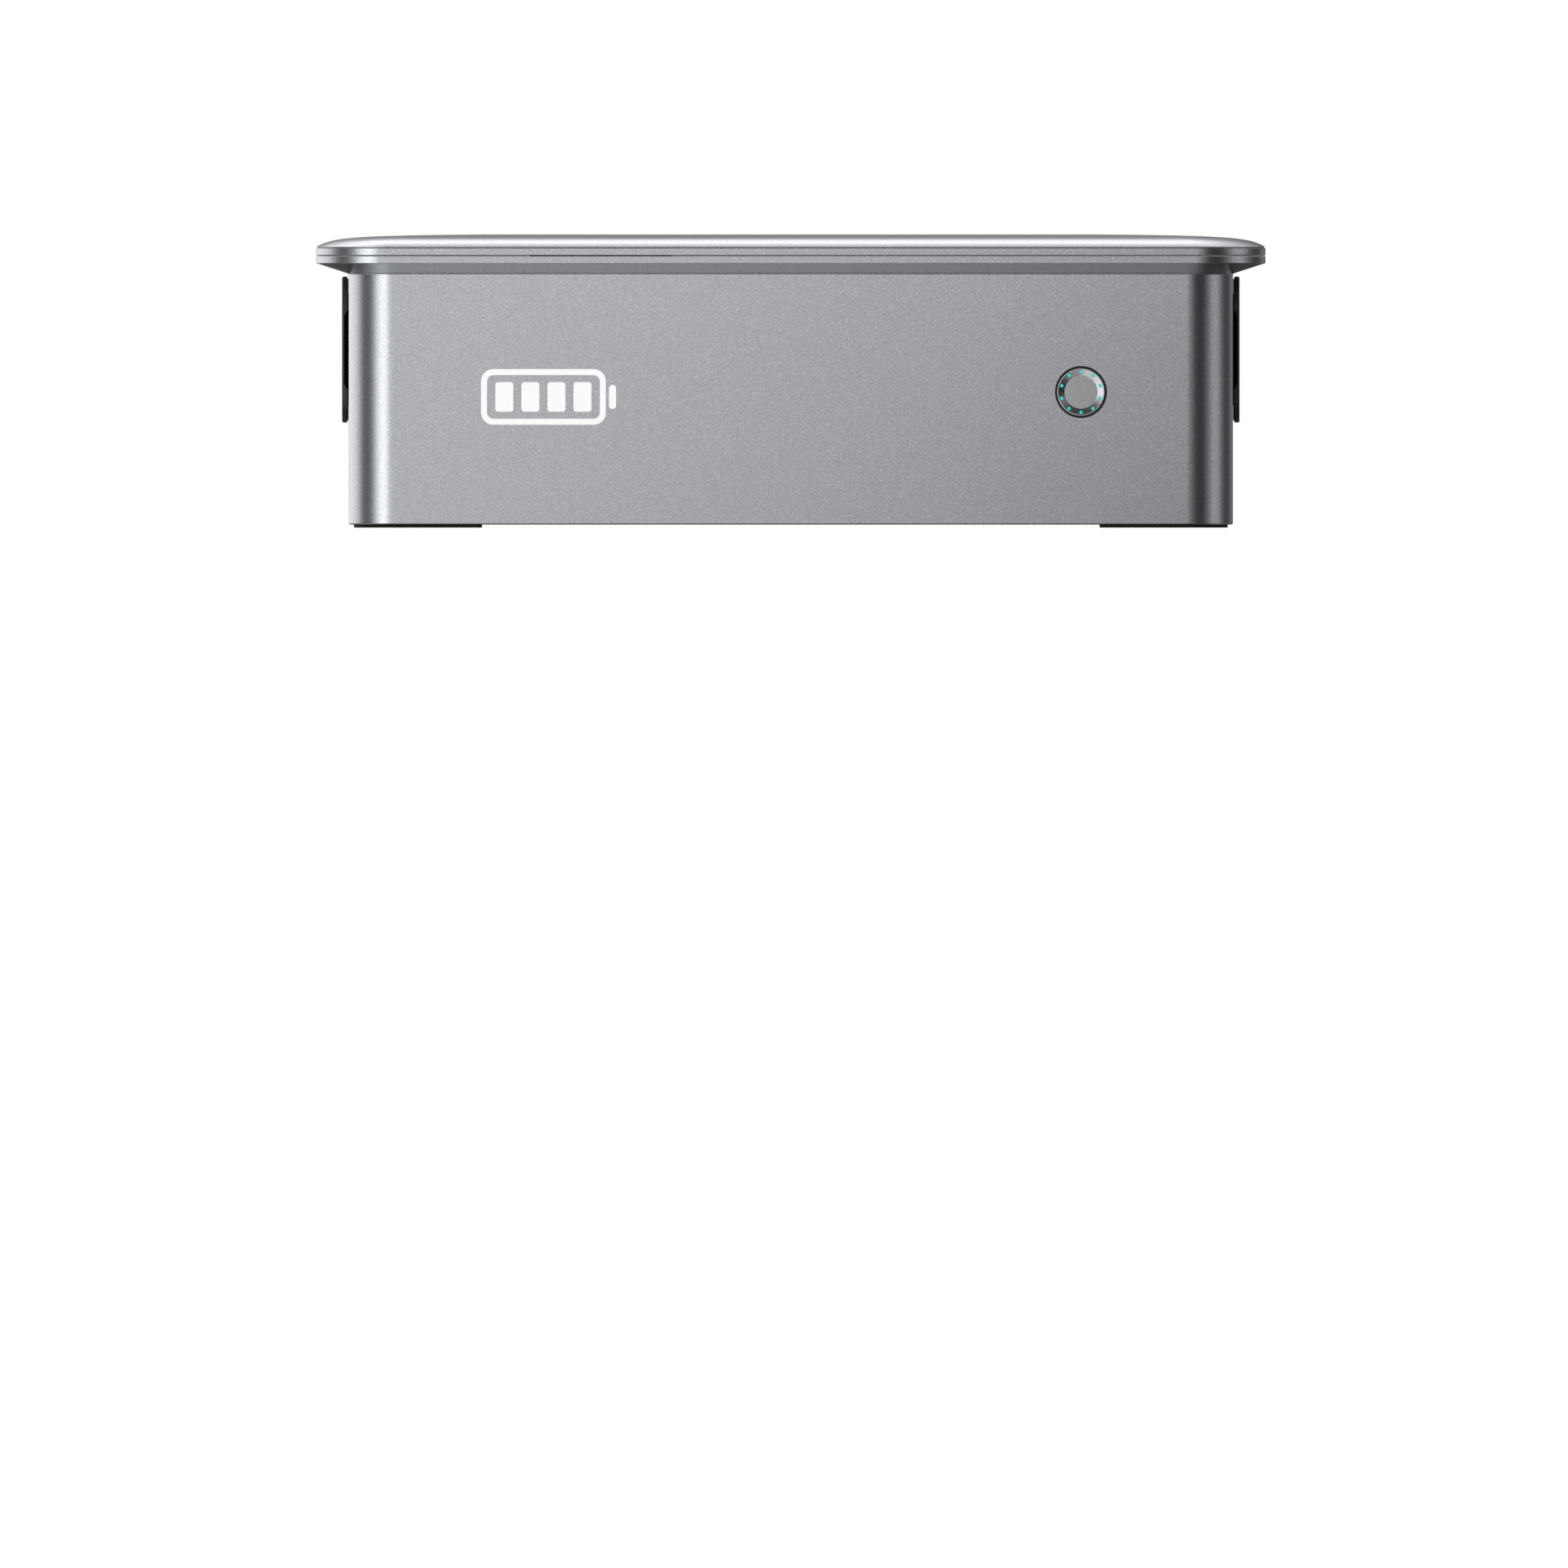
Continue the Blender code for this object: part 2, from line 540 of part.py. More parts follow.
# ---- Side port bays ----------------------------------------------------------------------------------
def make_bay(side, wall, rear, tub):
    """The moulded bay let into the wall, with the two fixed hinge knuckles on its rim."""
    rim = rounded_rect(BAY_LENGTH, BAY_HEIGHT, BAY_RADIUS)
    flange = rounded_rect(BAY_LENGTH + 2 * BAY_FLANGE, BAY_HEIGHT + 2 * BAY_FLANGE, BAY_RADIUS + BAY_FLANGE)
    cavity = rounded_rect(CAVITY_LENGTH, CAVITY_HEIGHT, CAVITY_RADIUS)
    shell = rounded_rect(
        CAVITY_LENGTH + 2 * BAY_SHELL, CAVITY_HEIGHT + 2 * BAY_SHELL, CAVITY_RADIUS + BAY_SHELL
    )
    flange_face = -WALL - EASE
    flange_back = flange_face - BAY_SHELL
    bay = loft(
        f"port_bay_{side}",
        [
            (shell, CAVITY_FLOOR_W - BAY_SHELL),
            (shell, flange_back),
            (flange, flange_back),
            (flange, flange_face),
            (rim, flange_face),
            (rim, 0.0),
            (cavity, 0.0),
            (cavity, CAVITY_FLOOR_W),
        ],
        "black_plastic", wall,
    )
    hinge = (rear * HINGE_U, HINGE_W)
    length = KNUCKLE_OUTER_V - KNUCKLE_INNER_V
    for sign in (-1, 1):
        middle = sign * (KNUCKLE_INNER_V + KNUCKLE_OUTER_V) / 2
        foot = (0.0013, length, HINGE_W + 0.0005)
        foot_centre = (rear * (BAY_LENGTH / 2 - foot[0] / 2), middle, (HINGE_W - 0.0005) / 2)
        low, high = middle - length / 2, middle + length / 2
        join(bay, block(f"knuckle_foot_{side}_{sign}", foot, foot_centre, None, wall))
        join(bay, cross_rod(f"knuckle_{side}_{sign}", KNUCKLE_RADIUS, low, high, None, wall, hinge))
    cut(bay, cross_rod(f"knuckle_bore_{side}", PIN_BORE_RADIUS, -0.02, 0.02, None, wall, hinge))
    window = (BAY_LENGTH + 4 * EASE, BAY_HEIGHT + 4 * EASE)
    cut(tub, slab(f"window_{side}", window, BAY_RADIUS + 2 * EASE, -2 * WALL, WALL, None, wall))

    length = 2 * KNUCKLE_OUTER_V - 0.0004
    cross_rod(f"hinge_pin_{side}", PIN_RADIUS, -length / 2, length / 2, "steel", wall, hinge)
    outer = rounded_rect(PORT_SEAL_LENGTH, BAY_HEIGHT, BAY_RADIUS - 0.0025)
    inner = rounded_rect(
        PORT_SEAL_LENGTH - 2 * PORT_SEAL_WIDTH, BAY_HEIGHT - 2 * PORT_SEAL_WIDTH, BAY_RADIUS - 0.0055
    )
    seal_ring(f"port_seal_{side}", outer, inner, EASE / 2, COVER_BACK_W - EASE, "rubber", wall)


def make_cover(side, wall, rear):
    """The hinged cover: a plate with eased edges, a skirt on its back, a finger scoop and hinge notches."""

    def plate(inset):
        return rounded_rect(COVER_LENGTH - 2 * inset, COVER_HEIGHT - 2 * inset, COVER_RADIUS - inset)

    def skirt(inset):
        return rounded_rect(SKIRT_LENGTH - 2 * inset, SKIRT_HEIGHT - 2 * inset, SKIRT_RADIUS - inset)

    hinge = bpy.data.objects.new(f"cover_hinge_{side}", None)
    hinge.location = (rear * HINGE_U, 0.0, HINGE_W)
    hinge.parent = wall
    PIECES.objects.link(hinge)
    cover = loft(
        f"port_cover_{side}",
        [
            (skirt(SKIRT_THICKNESS), COVER_BACK_W),
            (skirt(SKIRT_THICKNESS), SKIRT_TIP_W),
            (skirt(0.0), SKIRT_TIP_W),
            (skirt(0.0), COVER_BACK_W),
            (plate(0.0), COVER_BACK_W),
            (plate(0.0), COVER_FACE_W - 0.0006),
            (plate(0.0002), COVER_FACE_W - 0.0002),
            (plate(0.0006), COVER_FACE_W),
        ],
        "black_plastic", hinge,
    )
    cover.data.transform(Matrix.Translation((-rear * HINGE_U, 0.0, -HINGE_W)))

    for sign in (-1, 1):
        reach = KNUCKLE_OUTER_V - KNUCKLE_INNER_V + 2 * GAP
        size = (0.004, reach, 0.004)
        centre = (rear * (HINGE_U + 0.0007), sign * (KNUCKLE_INNER_V + KNUCKLE_OUTER_V) / 2, HINGE_W)
        cut(cover, block(f"hinge_notch_{side}_{sign}", size, centre, None, wall))
    axis = (rear * HINGE_U, HINGE_W)
    cut(cover, cross_rod(f"cover_bore_{side}", PIN_BORE_RADIUS, -0.02, 0.02, None, wall, axis))
    angle = math.atan2(SCOOP_DEPTH, SCOOP_REACH)
    front_edge = (-rear * COVER_LENGTH / 2, 0.0, COVER_BACK_W + SCOOP_DEPTH)
    wedge = (4 * SCOOP_REACH, SCOOP_HEIGHT, 0.004)
    tilt = Matrix.Rotation(-rear * angle, 4, "Y") @ Matrix.Translation((0.0, 0.0, -wedge[2] / 2))
    cut(cover, block(f"finger_scoop_{side}", wedge, front_edge, None, wall, turn=tilt))


def make_sockets(side, wall, rear):
    """The power socket and the data socket on the floor of a bay, each a block with a keyed well."""
    for kind, spec in (("power", POWER_SOCKET), ("data", DATA_SOCKET)):
        body = rounded_rect(spec["length"], spec["height"], 0.003)
        well = rounded_rect(spec["well"][0], spec["well"][1], 0.002)
        lip = rounded_rect(spec["length"] - 0.001, spec["height"] - 0.001, 0.0025)
        loft(
            f"{kind}_socket_{side}",
            [
                (body, SOCKET_FOOT_W),
                (body, SOCKET_FACE_W - 0.0005),
                (lip, SOCKET_FACE_W),
                (well, SOCKET_FACE_W),
                (well, SOCKET_FOOT_W + SOCKET_BASE),
            ],
            "grey_plastic", wall, centre=(rear * spec["u"], 0.0),
        )


def make_side(side, sign, tub):
    wall = wall_frame(f"wall_{side}", sign * HALF_WIDTH, 0.0, BAY_Z, sign * math.pi / 2)
    make_bay(side, wall, sign, tub)
    make_cover(side, wall, sign)
    make_sockets(side, wall, sign)


# ---- Power button ------------------------------------------------------------------------------------
def make_button(tub):
    """A dished cap with ten light pipes, in a black ring, over a board with ten lamps and a switch."""
    wall = wall_frame("button_wall", BUTTON_X, -HALF_DEPTH, BUTTON_Z, 0.0)
    cut(tub, rod("button_hole", BUTTON_HOLE_RADIUS, -0.006, 0.003, None, wall, steps=ROUND_STEPS))

    plate_back, skirt_inner, skirt_foot, stem_radius, stem_foot = -0.0024, 0.00825, -0.005, 0.0022, -0.0033
    face = -DISH_DEPTH + 0.00015
    cap = turned(
        "button_cap",
        [
            (0.0, face),
            (DISH_INNER - 0.00012, face),
            (DISH_INNER, -DISH_DEPTH),
            (DISH_OUTER, 0.0),
            (CAP_RADIUS - 0.0002, 0.0),
            (CAP_RADIUS, -0.0002),
            (CAP_RADIUS, skirt_foot),
            (skirt_inner, skirt_foot),
            (skirt_inner, plate_back),
            (stem_radius, plate_back),
            (stem_radius, stem_foot),
            (0.0, stem_foot),
        ],
        "button_metal", wall,
    )
    size = (LIGHT_RADIUS + EASE, 0.004, 10)
    bores = [("rod", size, place_at) for place_at in ring_of(LIGHT_COUNT, LIGHT_CIRCLE, -0.0012)]
    cut(cap, group("light_bores", None, wall, bores))

    guide_top, guide_foot = plate_back - EASE, plate_back - 0.0009
    guide_outer, guide_inner = skirt_inner - EASE, 0.0067
    guide = turned(
        "button_light_guide",
        [
            (guide_outer, guide_top), (guide_outer, guide_foot),
            (guide_inner, guide_foot), (guide_inner, guide_top),
        ],
        "light_guide", wall, closed=True,
    )
    tip, root = -0.0003, guide_top - 0.0003
    size = (LIGHT_RADIUS, tip - root, 10)
    posts = [("rod", size, place_at) for place_at in ring_of(LIGHT_COUNT, LIGHT_CIRCLE, (tip + root) / 2)]
    join(guide, group("light_posts", None, wall, posts))

    ring_face, ring_back = -0.00002, -0.0042
    turned(
        "button_ring",
        [
            (RING_OUTER, ring_face), (RING_OUTER, ring_back),
            (RING_INNER, ring_back), (RING_INNER, ring_face),
        ],
        "rubber", wall, closed=True,
    )
    board_top, board_thickness = -0.0082, 0.001
    inner, shoulder, outer, flange = 0.0097, 0.0086, 0.0108, 0.0125
    seat, flange_back, back = -WALL - EASE, -0.004, -0.012
    shoulder_z = board_top - board_thickness - GAP
    turned(
        "button_housing",
        [
            (flange, seat), (flange, flange_back), (outer, flange_back), (outer, back),
            (shoulder, back), (shoulder, shoulder_z), (inner, shoulder_z), (inner, seat),
        ],
        "black_plastic", wall, steps=24, closed=True,
    )
    board_radius = inner - 4 * EASE
    board_foot = board_top - board_thickness
    board = rod("led_board", board_radius, board_foot, board_top, "circuit_board", wall, steps=24)
    lamp = (0.0012, 0.0012, 0.0014)
    lamps = [("box", lamp, place_at) for place_at in ring_of(LIGHT_COUNT, LIGHT_CIRCLE, board_top)]
    join(board, group("lamps", None, wall, lamps))

    body_foot, body_top, body_width = board_top + 0.0002, -0.005, 0.006
    well_radius, well_foot, plunger_radius, plunger_foot = 0.0019, -0.0073, 0.0016, -0.0063
    size = (body_width, body_width, body_top - body_foot)
    switch = block("switch_body", size, (0.0, 0.0, (body_top + body_foot) / 2), "black_plastic", wall)
    cut(switch, rod("switch_well", well_radius, well_foot, body_top + 0.001, None, wall, steps=16))
    plunger_top = stem_foot - EASE
    rod("switch_plunger", plunger_radius, plunger_foot, plunger_top, "grey_plastic", wall, steps=16)


# ---- Cell pack and electronics -----------------------------------------------------------------------
def make_cells():
    """Eight flat cells side by side, each with two terminals on top."""
    centre = (0.0, 0.0, CELL_FOOT_Z + CELL_SIZE[2] / 2)
    cell = block("cell_pattern", CELL_SIZE, centre, "cell_can", bevel=0.001)
    depth = TERMINAL_HEIGHT + 0.001
    post_z = CELL_TOP_Z + TERMINAL_HEIGHT - depth / 2
    posts = [("rod", (TERMINAL_RADIUS, depth, 12), (0.0, sign * TERMINAL_Y, post_z)) for sign in (-1, 1)]
    join(cell, group("terminals", None, None, posts))
    first = -CELL_PITCH * (CELL_COUNT - 1) / 2
    names = [f"cell_{i + 1}" for i in range(CELL_COUNT)]
    copies(freeze(cell), names, [(first + i * CELL_PITCH, 0.0, 0.0) for i in range(CELL_COUNT)])


def make_pack_frame():
    """The tray that the cells stand in and the plates that squeeze them together."""
    end_x = CELL_COUNT * CELL_PITCH / 2 + GAP + END_PLATE_THICKNESS / 2
    plate = (END_PLATE_THICKNESS, CELL_SIZE[1], CELL_SIZE[2])
    for side, sign in (("left", -1), ("right", 1)):
        centre = (sign * end_x, 0.0, CELL_FOOT_Z + plate[2] / 2)
        block(f"end_plate_{side}", plate, centre, "heat_sink", bevel=0.0006)
    inside = (2 * end_x + END_PLATE_THICKNESS + 2 * GAP, CELL_SIZE[1] + 2 * GAP)
    outside = (inside[0] + 2 * TRAY_WALL, inside[1] + 2 * TRAY_WALL)
    inner = rounded_rect(*inside, 0.0004)
    outer = rounded_rect(*outside, 0.002)
    foot_z = FLOOR_TOP_Z + GAP
    loft(
        "cell_tray",
        [(outer, foot_z), (outer, TRAY_TOP_Z), (inner, TRAY_TOP_Z), (inner, CELL_FOOT_Z - GAP)],
        "black_plastic",
    )


def make_contact_board():
    """The board across the terminals, with a bar for each pair of cells that it joins."""
    size = (CELL_COUNT * CELL_PITCH - 0.004, 0.104, BOARD_THICKNESS)
    board = block("contact_board", size, (0.0, 0.0, CONTACT_BOARD_Z + size[2] / 2), "circuit_board")
    top = CONTACT_BOARD_Z + size[2]
    bar = (CELL_PITCH + 0.011, 0.012, 0.003)
    bars = []
    for i in range(CELL_COUNT - 1):
        x = CELL_PITCH * (i + 1 - CELL_COUNT / 2)
        y = TERMINAL_Y if i % 2 else -TERMINAL_Y
        bars.append(("box", bar, (x, y, top)))
    join(board, group("link_bars", None, None, bars))


def make_electronics():
    """The management board on its posts, the heat spreader from its switches to the deck, and the fuse."""
    size = (0.170, 0.096, BOARD_THICKNESS)
    board = block("bms_board", size, (0.0, -0.004, BMS_Z + size[2] / 2), "circuit_board")
    top = BMS_Z + size[2]
    seat = CONTACT_BOARD_Z + BOARD_THICKNESS + GAP
    switch, switch_count, switch_pitch = (0.010, 0.009, 0.006), 7, 0.014
    switch_x, switch_y = -0.060, -0.042
    parts = [("box", switch, (switch_x + switch_pitch * i, switch_y, top)) for i in range(switch_count)]
    capacitor, controller, connector = (0.008, 0.012, 14), (0.014, 0.014, 0.003), (0.022, 0.010, 0.012)
    parts.append(("rod", capacitor, (0.060, -0.034, top)))
    parts.append(("box", controller, (0.058, 0.0, top)))
    parts.append(("box", connector, (0.056, 0.034, top)))
    post_radius, post_height = 0.003, BMS_Z + 0.0005 - seat
    for x in (-0.074, 0.074):
        for y in (-0.024, 0.018):
            parts.append(("rod", (post_radius, post_height, 10), (x, y, seat + post_height / 2)))
    join(board, group("board_parts", None, None, parts))

    low, high = top + switch[2] / 2 + GAP, DECK_BOTTOM_Z - GAP
    plate = ((switch_count - 1) * switch_pitch + 0.012, 0.040, 0.004)
    centre = (switch_x + (switch_count - 1) * switch_pitch / 2, switch_y + 0.012)
    spreader = block("heat_spreader", plate, (*centre, low + plate[2] / 2), "heat_sink", bevel=0.0005)
    fin_count, fin_pitch, fin_foot = 5, 0.008, low + 0.001
    fin = (plate[0] - 0.002, 0.002, high - fin_foot)
    fins = []
    for i in range(fin_count):
        y = centre[1] + (i - (fin_count - 1) / 2) * fin_pitch
        fins.append(("box", fin, (centre[0], y, (high + fin_foot) / 2)))
    join(spreader, group("fins", None, None, fins))
    fuse_x, fuse_y, fuse_size, tab_size = 0.108, 0.010, (0.016, 0.030, 0.014), (0.010, 0.046, 0.002)
    fuse_at = (fuse_x, fuse_y, seat + fuse_size[2] / 2)
    fuse = block("main_fuse", fuse_size, fuse_at, "grey_plastic", bevel=0.001)
    join(fuse, block("fuse_tabs", tab_size, (fuse_x, fuse_y, seat + tab_size[2]), None))


def make_cable(name, material, points, radius=0.003):
    """A stiff lead inside the unit, a tube along a smooth curve through the points."""
    spline_points = []
    for i in range(len(points) - 1):
        before = points[max(i - 1, 0)]
        start, end = points[i], points[i + 1]
        after = points[min(i + 2, len(points) - 1)]
        for step in range(3):
            spline_points.append(catmull_rom(before, start, end, after, step / 3))
    spline_points.append(points[-1])
    curve = bpy.data.curves.new(name, "CURVE")
    curve.dimensions = "3D"
    curve.bevel_depth = radius
    curve.bevel_resolution = 2
    curve.use_fill_caps = True
    spline = curve.splines.new("POLY")
    spline.points.add(len(spline_points) - 1)
    for point, (x, y, z) in zip(spline.points, spline_points):
        point.co = (x, y, z, 1.0)
    curve.materials.append(bpy.data.materials[material])
    PIECES.objects.link(bpy.data.objects.new(name, curve))


def catmull_rom(before, start, end, after, t):
    """A point of the smooth curve from start to end."""
    return tuple(
        0.5 * (2 * b + (c - a) * t + (2 * a - 5 * b + 4 * c - d) * t**2 + (3 * b - a - 3 * c + d) * t**3)
        for a, b, c, d in zip(before, start, end, after)
    )


def make_cables():
    """The leads from the ends of the pack to the management board."""
    foot = CONTACT_BOARD_Z + BOARD_THICKNESS + GAP
    end = BMS_Z + BOARD_THICKNESS + GAP
    pack_x, board_x = 0.118, 0.080
    for name, material, side in (("cable_negative", "cable_black", -1), ("cable_positive", "cable_red", 1)):
        route = [
            (side * pack_x, -0.020, foot),
            (side * pack_x, -0.020, foot + 0.003),
            (side * pack_x, -0.020, foot + 0.007),
            (side * 0.110, -0.021, end + 0.010),
            (side * 0.098, -0.022, end + 0.0125),
            (side * 0.086, -0.022, end + 0.011),
            (side * board_x, -0.022, end + 0.006),
            (side * board_x, -0.022, end + 0.003),
            (side * board_x, -0.022, end),
        ]
        make_cable(name, material, route)


def make_rear_fittings(tub):
    """The breather and the earth screw on the rear wall."""
    wall = wall_frame("rear_wall", 0.0, HALF_DEPTH, 0.030, math.pi)
    vent_at, cap_radius, stem_radius, bore_radius, stem_back = -0.118, 0.0080, 0.0056, 0.0036, -0.006
    turned(
        "vent_plug",
        [
            (0.0, 0.0034), (cap_radius - 0.0012, 0.0034), (cap_radius, 0.0026), (cap_radius, GAP),
            (stem_radius, GAP), (stem_radius, stem_back), (bore_radius, stem_back), (bore_radius, 0.0008),
            (0.0, 0.0008),
        ],
        "black_plastic", wall, location=(vent_at, 0.0, 0.0), steps=24,
    )
    earth_at, washer_radius, washer_top, head_radius, head_top = 0.126, 0.0060, 0.0014, 0.0042, 0.0042
    shank_radius, shank_foot = 0.0024, -0.008
    turned(
        "earth_screw",
        [
            (0.0, head_top), (head_radius - 0.0006, head_top), (head_radius, head_top - 0.0006),
            (head_radius, washer_top), (washer_radius, washer_top), (washer_radius, GAP),
            (shank_radius, GAP), (shank_radius, shank_foot), (0.0, shank_foot),
        ],
        "steel", wall, location=(earth_at, 0.0, 0.0), steps=24,
    )
    depth = 4 * WALL
    holes = [
        ("rod", (stem_radius + GAP, depth, 24), (vent_at, 0.0, 0.0)),
        ("rod", (shank_radius + 2 * EASE, depth, 16), (earth_at, 0.0, 0.0)),
    ]
    cut(tub, group("rear_holes", None, wall, holes))


def build():
    make_materials()
    tub = make_tub()
    make_feet(tub)
    deck = make_deck()
    make_lid()
    make_stack_connector(tub, deck)
    make_side("left", -1, tub)
    make_side("right", 1, tub)
    make_button(tub)
    make_cells()
    make_pack_frame()
    make_contact_board()
    make_electronics()
    make_cables()
    make_rear_fittings(tub)


clear_scene()
PIECES = new_collection("stackable_home_battery")
HELPERS = new_collection("cutters")
build()
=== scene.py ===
"""Looks of the stackable home battery: fine shells, covers, button, contacts and their materials, on the
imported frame. Metres, +Z up, front along -Y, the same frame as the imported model.
"""

import json
import math

import bmesh
import bpy
from mathutils import Matrix, Vector


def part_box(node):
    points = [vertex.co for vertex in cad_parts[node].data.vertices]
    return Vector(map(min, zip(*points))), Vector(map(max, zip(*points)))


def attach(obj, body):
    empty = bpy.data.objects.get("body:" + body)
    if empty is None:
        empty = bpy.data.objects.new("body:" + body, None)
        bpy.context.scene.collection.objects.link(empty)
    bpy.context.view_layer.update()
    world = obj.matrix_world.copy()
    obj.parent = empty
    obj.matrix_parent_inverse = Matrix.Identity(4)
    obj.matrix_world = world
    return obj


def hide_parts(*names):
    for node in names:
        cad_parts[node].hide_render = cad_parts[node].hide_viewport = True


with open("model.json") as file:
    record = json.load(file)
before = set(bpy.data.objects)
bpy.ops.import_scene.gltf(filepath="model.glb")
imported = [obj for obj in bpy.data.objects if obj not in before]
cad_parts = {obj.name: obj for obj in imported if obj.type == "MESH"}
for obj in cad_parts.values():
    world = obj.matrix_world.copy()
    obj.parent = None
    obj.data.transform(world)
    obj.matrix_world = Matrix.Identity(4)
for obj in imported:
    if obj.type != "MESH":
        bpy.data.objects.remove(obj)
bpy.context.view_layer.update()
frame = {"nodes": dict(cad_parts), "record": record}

# ---- Sizes read from the frame -----------------------------------------------------------------------
LID_LOW, LID_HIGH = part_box("lid_panel")
RIM_LOW, RIM_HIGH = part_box("lid_frame")
TUB_LOW, TUB_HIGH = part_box("enclosure_tub")
FOOT_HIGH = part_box("foot_front_right")[1]
COVER_LOW, COVER_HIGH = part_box("port_cover_right")
CAP_LOW, CAP_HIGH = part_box("button_cap")
PLUG_LOW, PLUG_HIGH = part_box("stack_plug_top")
SOCKET_LOW, SOCKET_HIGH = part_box("stack_socket_bottom")

LID_WIDTH, LID_DEPTH, LID_TOP_Z = LID_HIGH.x - LID_LOW.x, LID_HIGH.y - LID_LOW.y, LID_HIGH.z
OVERHANG = 0.012  # of the brim and the lid over the wall
BODY_WIDTH, BODY_DEPTH = LID_WIDTH - 2 * OVERHANG, LID_DEPTH - 2 * OVERHANG
HALF_WIDTH, HALF_DEPTH = BODY_WIDTH / 2, BODY_DEPTH / 2
BODY_RADIUS, LID_RADIUS = 0.017, 0.0255
WALL = 0.0025
BASE_Z = TUB_LOW.z - 0.0001
BASE_CHAMFER = 0.0004
BASE_INSET = BODY_RADIUS - 0.001  # how far in the tub's floor is a ring, before it is capped
BRIM_TOP_Z = TUB_HIGH.z
FLARE_TOP_Z = BRIM_TOP_Z - 0.0027
FLARE_FOOT_Z = FLARE_TOP_Z - 0.0039
LEDGE_OFFSET, LEDGE_DEPTH = 0.0065, 0.0025
LIP_FALL = 0.0001  # how much lower the brim's top is at its edge
GROOVE_OUTER, GROOVE_INNER, GROOVE_DEPTH = 0.0106, 0.0082, 0.0012
SHADOW_GAP, SHADOW_DEPTH = 0.00018, 0.0006
BAND_TOP_Z = LID_LOW.z - 0.00022
PANEL_FOOT_Z = LID_LOW.z + 0.00012
PANEL_THICKNESS = 0.0018
LID_FLOOR = 0.00135

BUTTON_X, BUTTON_Z = (CAP_LOW.x + CAP_HIGH.x) / 2, (CAP_LOW.z + CAP_HIGH.z) / 2
CAP_RADIUS = (CAP_HIGH.x - CAP_LOW.x) / 2
BAY_Z = (COVER_LOW.z + COVER_HIGH.z) / 2
COVER_LENGTH, COVER_HEIGHT = COVER_HIGH.y - COVER_LOW.y, COVER_HIGH.z - COVER_LOW.z
COVER_FACE_W, COVER_BACK_W = COVER_HIGH.x - HALF_WIDTH, 0.0005
STACK_X, STACK_Y = (PLUG_LOW.x + PLUG_HIGH.x) / 2, (PLUG_LOW.y + PLUG_HIGH.y) / 2

WINDOW_LENGTH, WINDOW_HEIGHT, WINDOW_RADIUS = 0.1194, 0.0523, 0.0112  # in the side walls, for the port bays
BUTTON_HOLE_RADIUS, VENT_BORE_RADIUS, EARTH_BORE_RADIUS = 0.0096, 0.0059, 0.0026
CUT_IN, CUT_OUT = -0.006, 0.003  # how far a cutter reaches into a wall and stands out of it
GAP = 0.0003
SMOOTH_ANGLE = 38  # a larger angle between faces, in degrees, is a sharp edge

CORNER_STEPS = 20

# Each wall's own frame: X along it, Y up, Z out of it.
FRONT = Matrix.Translation((0, -HALF_DEPTH, 0)) @ Matrix.Rotation(math.pi / 2, 4, "X")
REAR = Matrix.Rotation(math.pi, 4, "Z") @ FRONT
SIDES = {
    side: Matrix.Translation((sign * HALF_WIDTH, 0, BAY_Z))
    @ Matrix.Rotation(sign * math.pi / 2, 4, "Z")
    @ Matrix.Rotation(math.pi / 2, 4, "X")
    for side, sign in (("left", -1), ("right", 1))
}
REARWARD = {"left": -1, "right": 1}  # the sign of a side frame's X towards the rear


# ---- Mesh helpers ------------------------------------------------------------------------------------
def circle(radius, steps, centre=(0.0, 0.0)):
    """Points of a circle, anticlockwise."""
    angles = [2 * math.pi * i / steps for i in range(steps)]
    return [(centre[0] + radius * math.cos(angle), centre[1] + radius * math.sin(angle)) for angle in angles]


def spaced(count, pitch, middle=0.0):
    """Places in a row, evenly spaced about its middle."""
    return [middle + (i - (count - 1) / 2) * pitch for i in range(count)]


def rounded_rect(width, depth, radii, steps=CORNER_STEPS, centre=(0.0, 0.0)):
    """Points of a rounded rectangle, anticlockwise from +X +Y, with one radius or one for each corner."""
    points = []
    for corner, radius in enumerate(radii if isinstance(radii, tuple) else (radii,) * 4):
        middle_x = centre[0] + (1, -1, -1, 1)[corner] * (width / 2 - radius)
        middle_y = centre[1] + (1, 1, -1, -1)[corner] * (depth / 2 - radius)
        for step in range(steps + 1):
            angle = math.radians(90 * (corner + step / steps))
            points.append((middle_x + radius * math.cos(angle), middle_y + radius * math.sin(angle)))
    return points


def outline(offset):
    """Plan outline of the wall, moved outwards. Its corner opens less than its sides."""
    opening = (LID_RADIUS - BODY_RADIUS) / OVERHANG if offset > 0 else 1.0
    return rounded_rect(BODY_WIDTH + 2 * offset, BODY_DEPTH + 2 * offset, BODY_RADIUS + opening * offset)


def softened(profile, steps=4):
    """A profile of (x, z, radius) corners with each corner turned into an arc of its radius."""
    points = []
    for i, (x, z, radius) in enumerate(profile):
        here = Vector((x, z))
        if radius == 0:
            points.append((x, z))
            continue
        back = (Vector(profile[i - 1][:2]) - here).normalized()
        on = (Vector(profile[(i + 1) % len(profile)][:2]) - here).normalized()
        half = back.angle(on) / 2
        centre = here + (back + on).normalized() * (radius / math.sin(half))
        start = here + back * (radius / math.tan(half)) - centre
        end = here + on * (radius / math.tan(half)) - centre
        for step in range(steps + 1):
            blend = start.lerp(end, step / steps).normalized() * radius
            points.append(tuple(centre + blend))
    return points


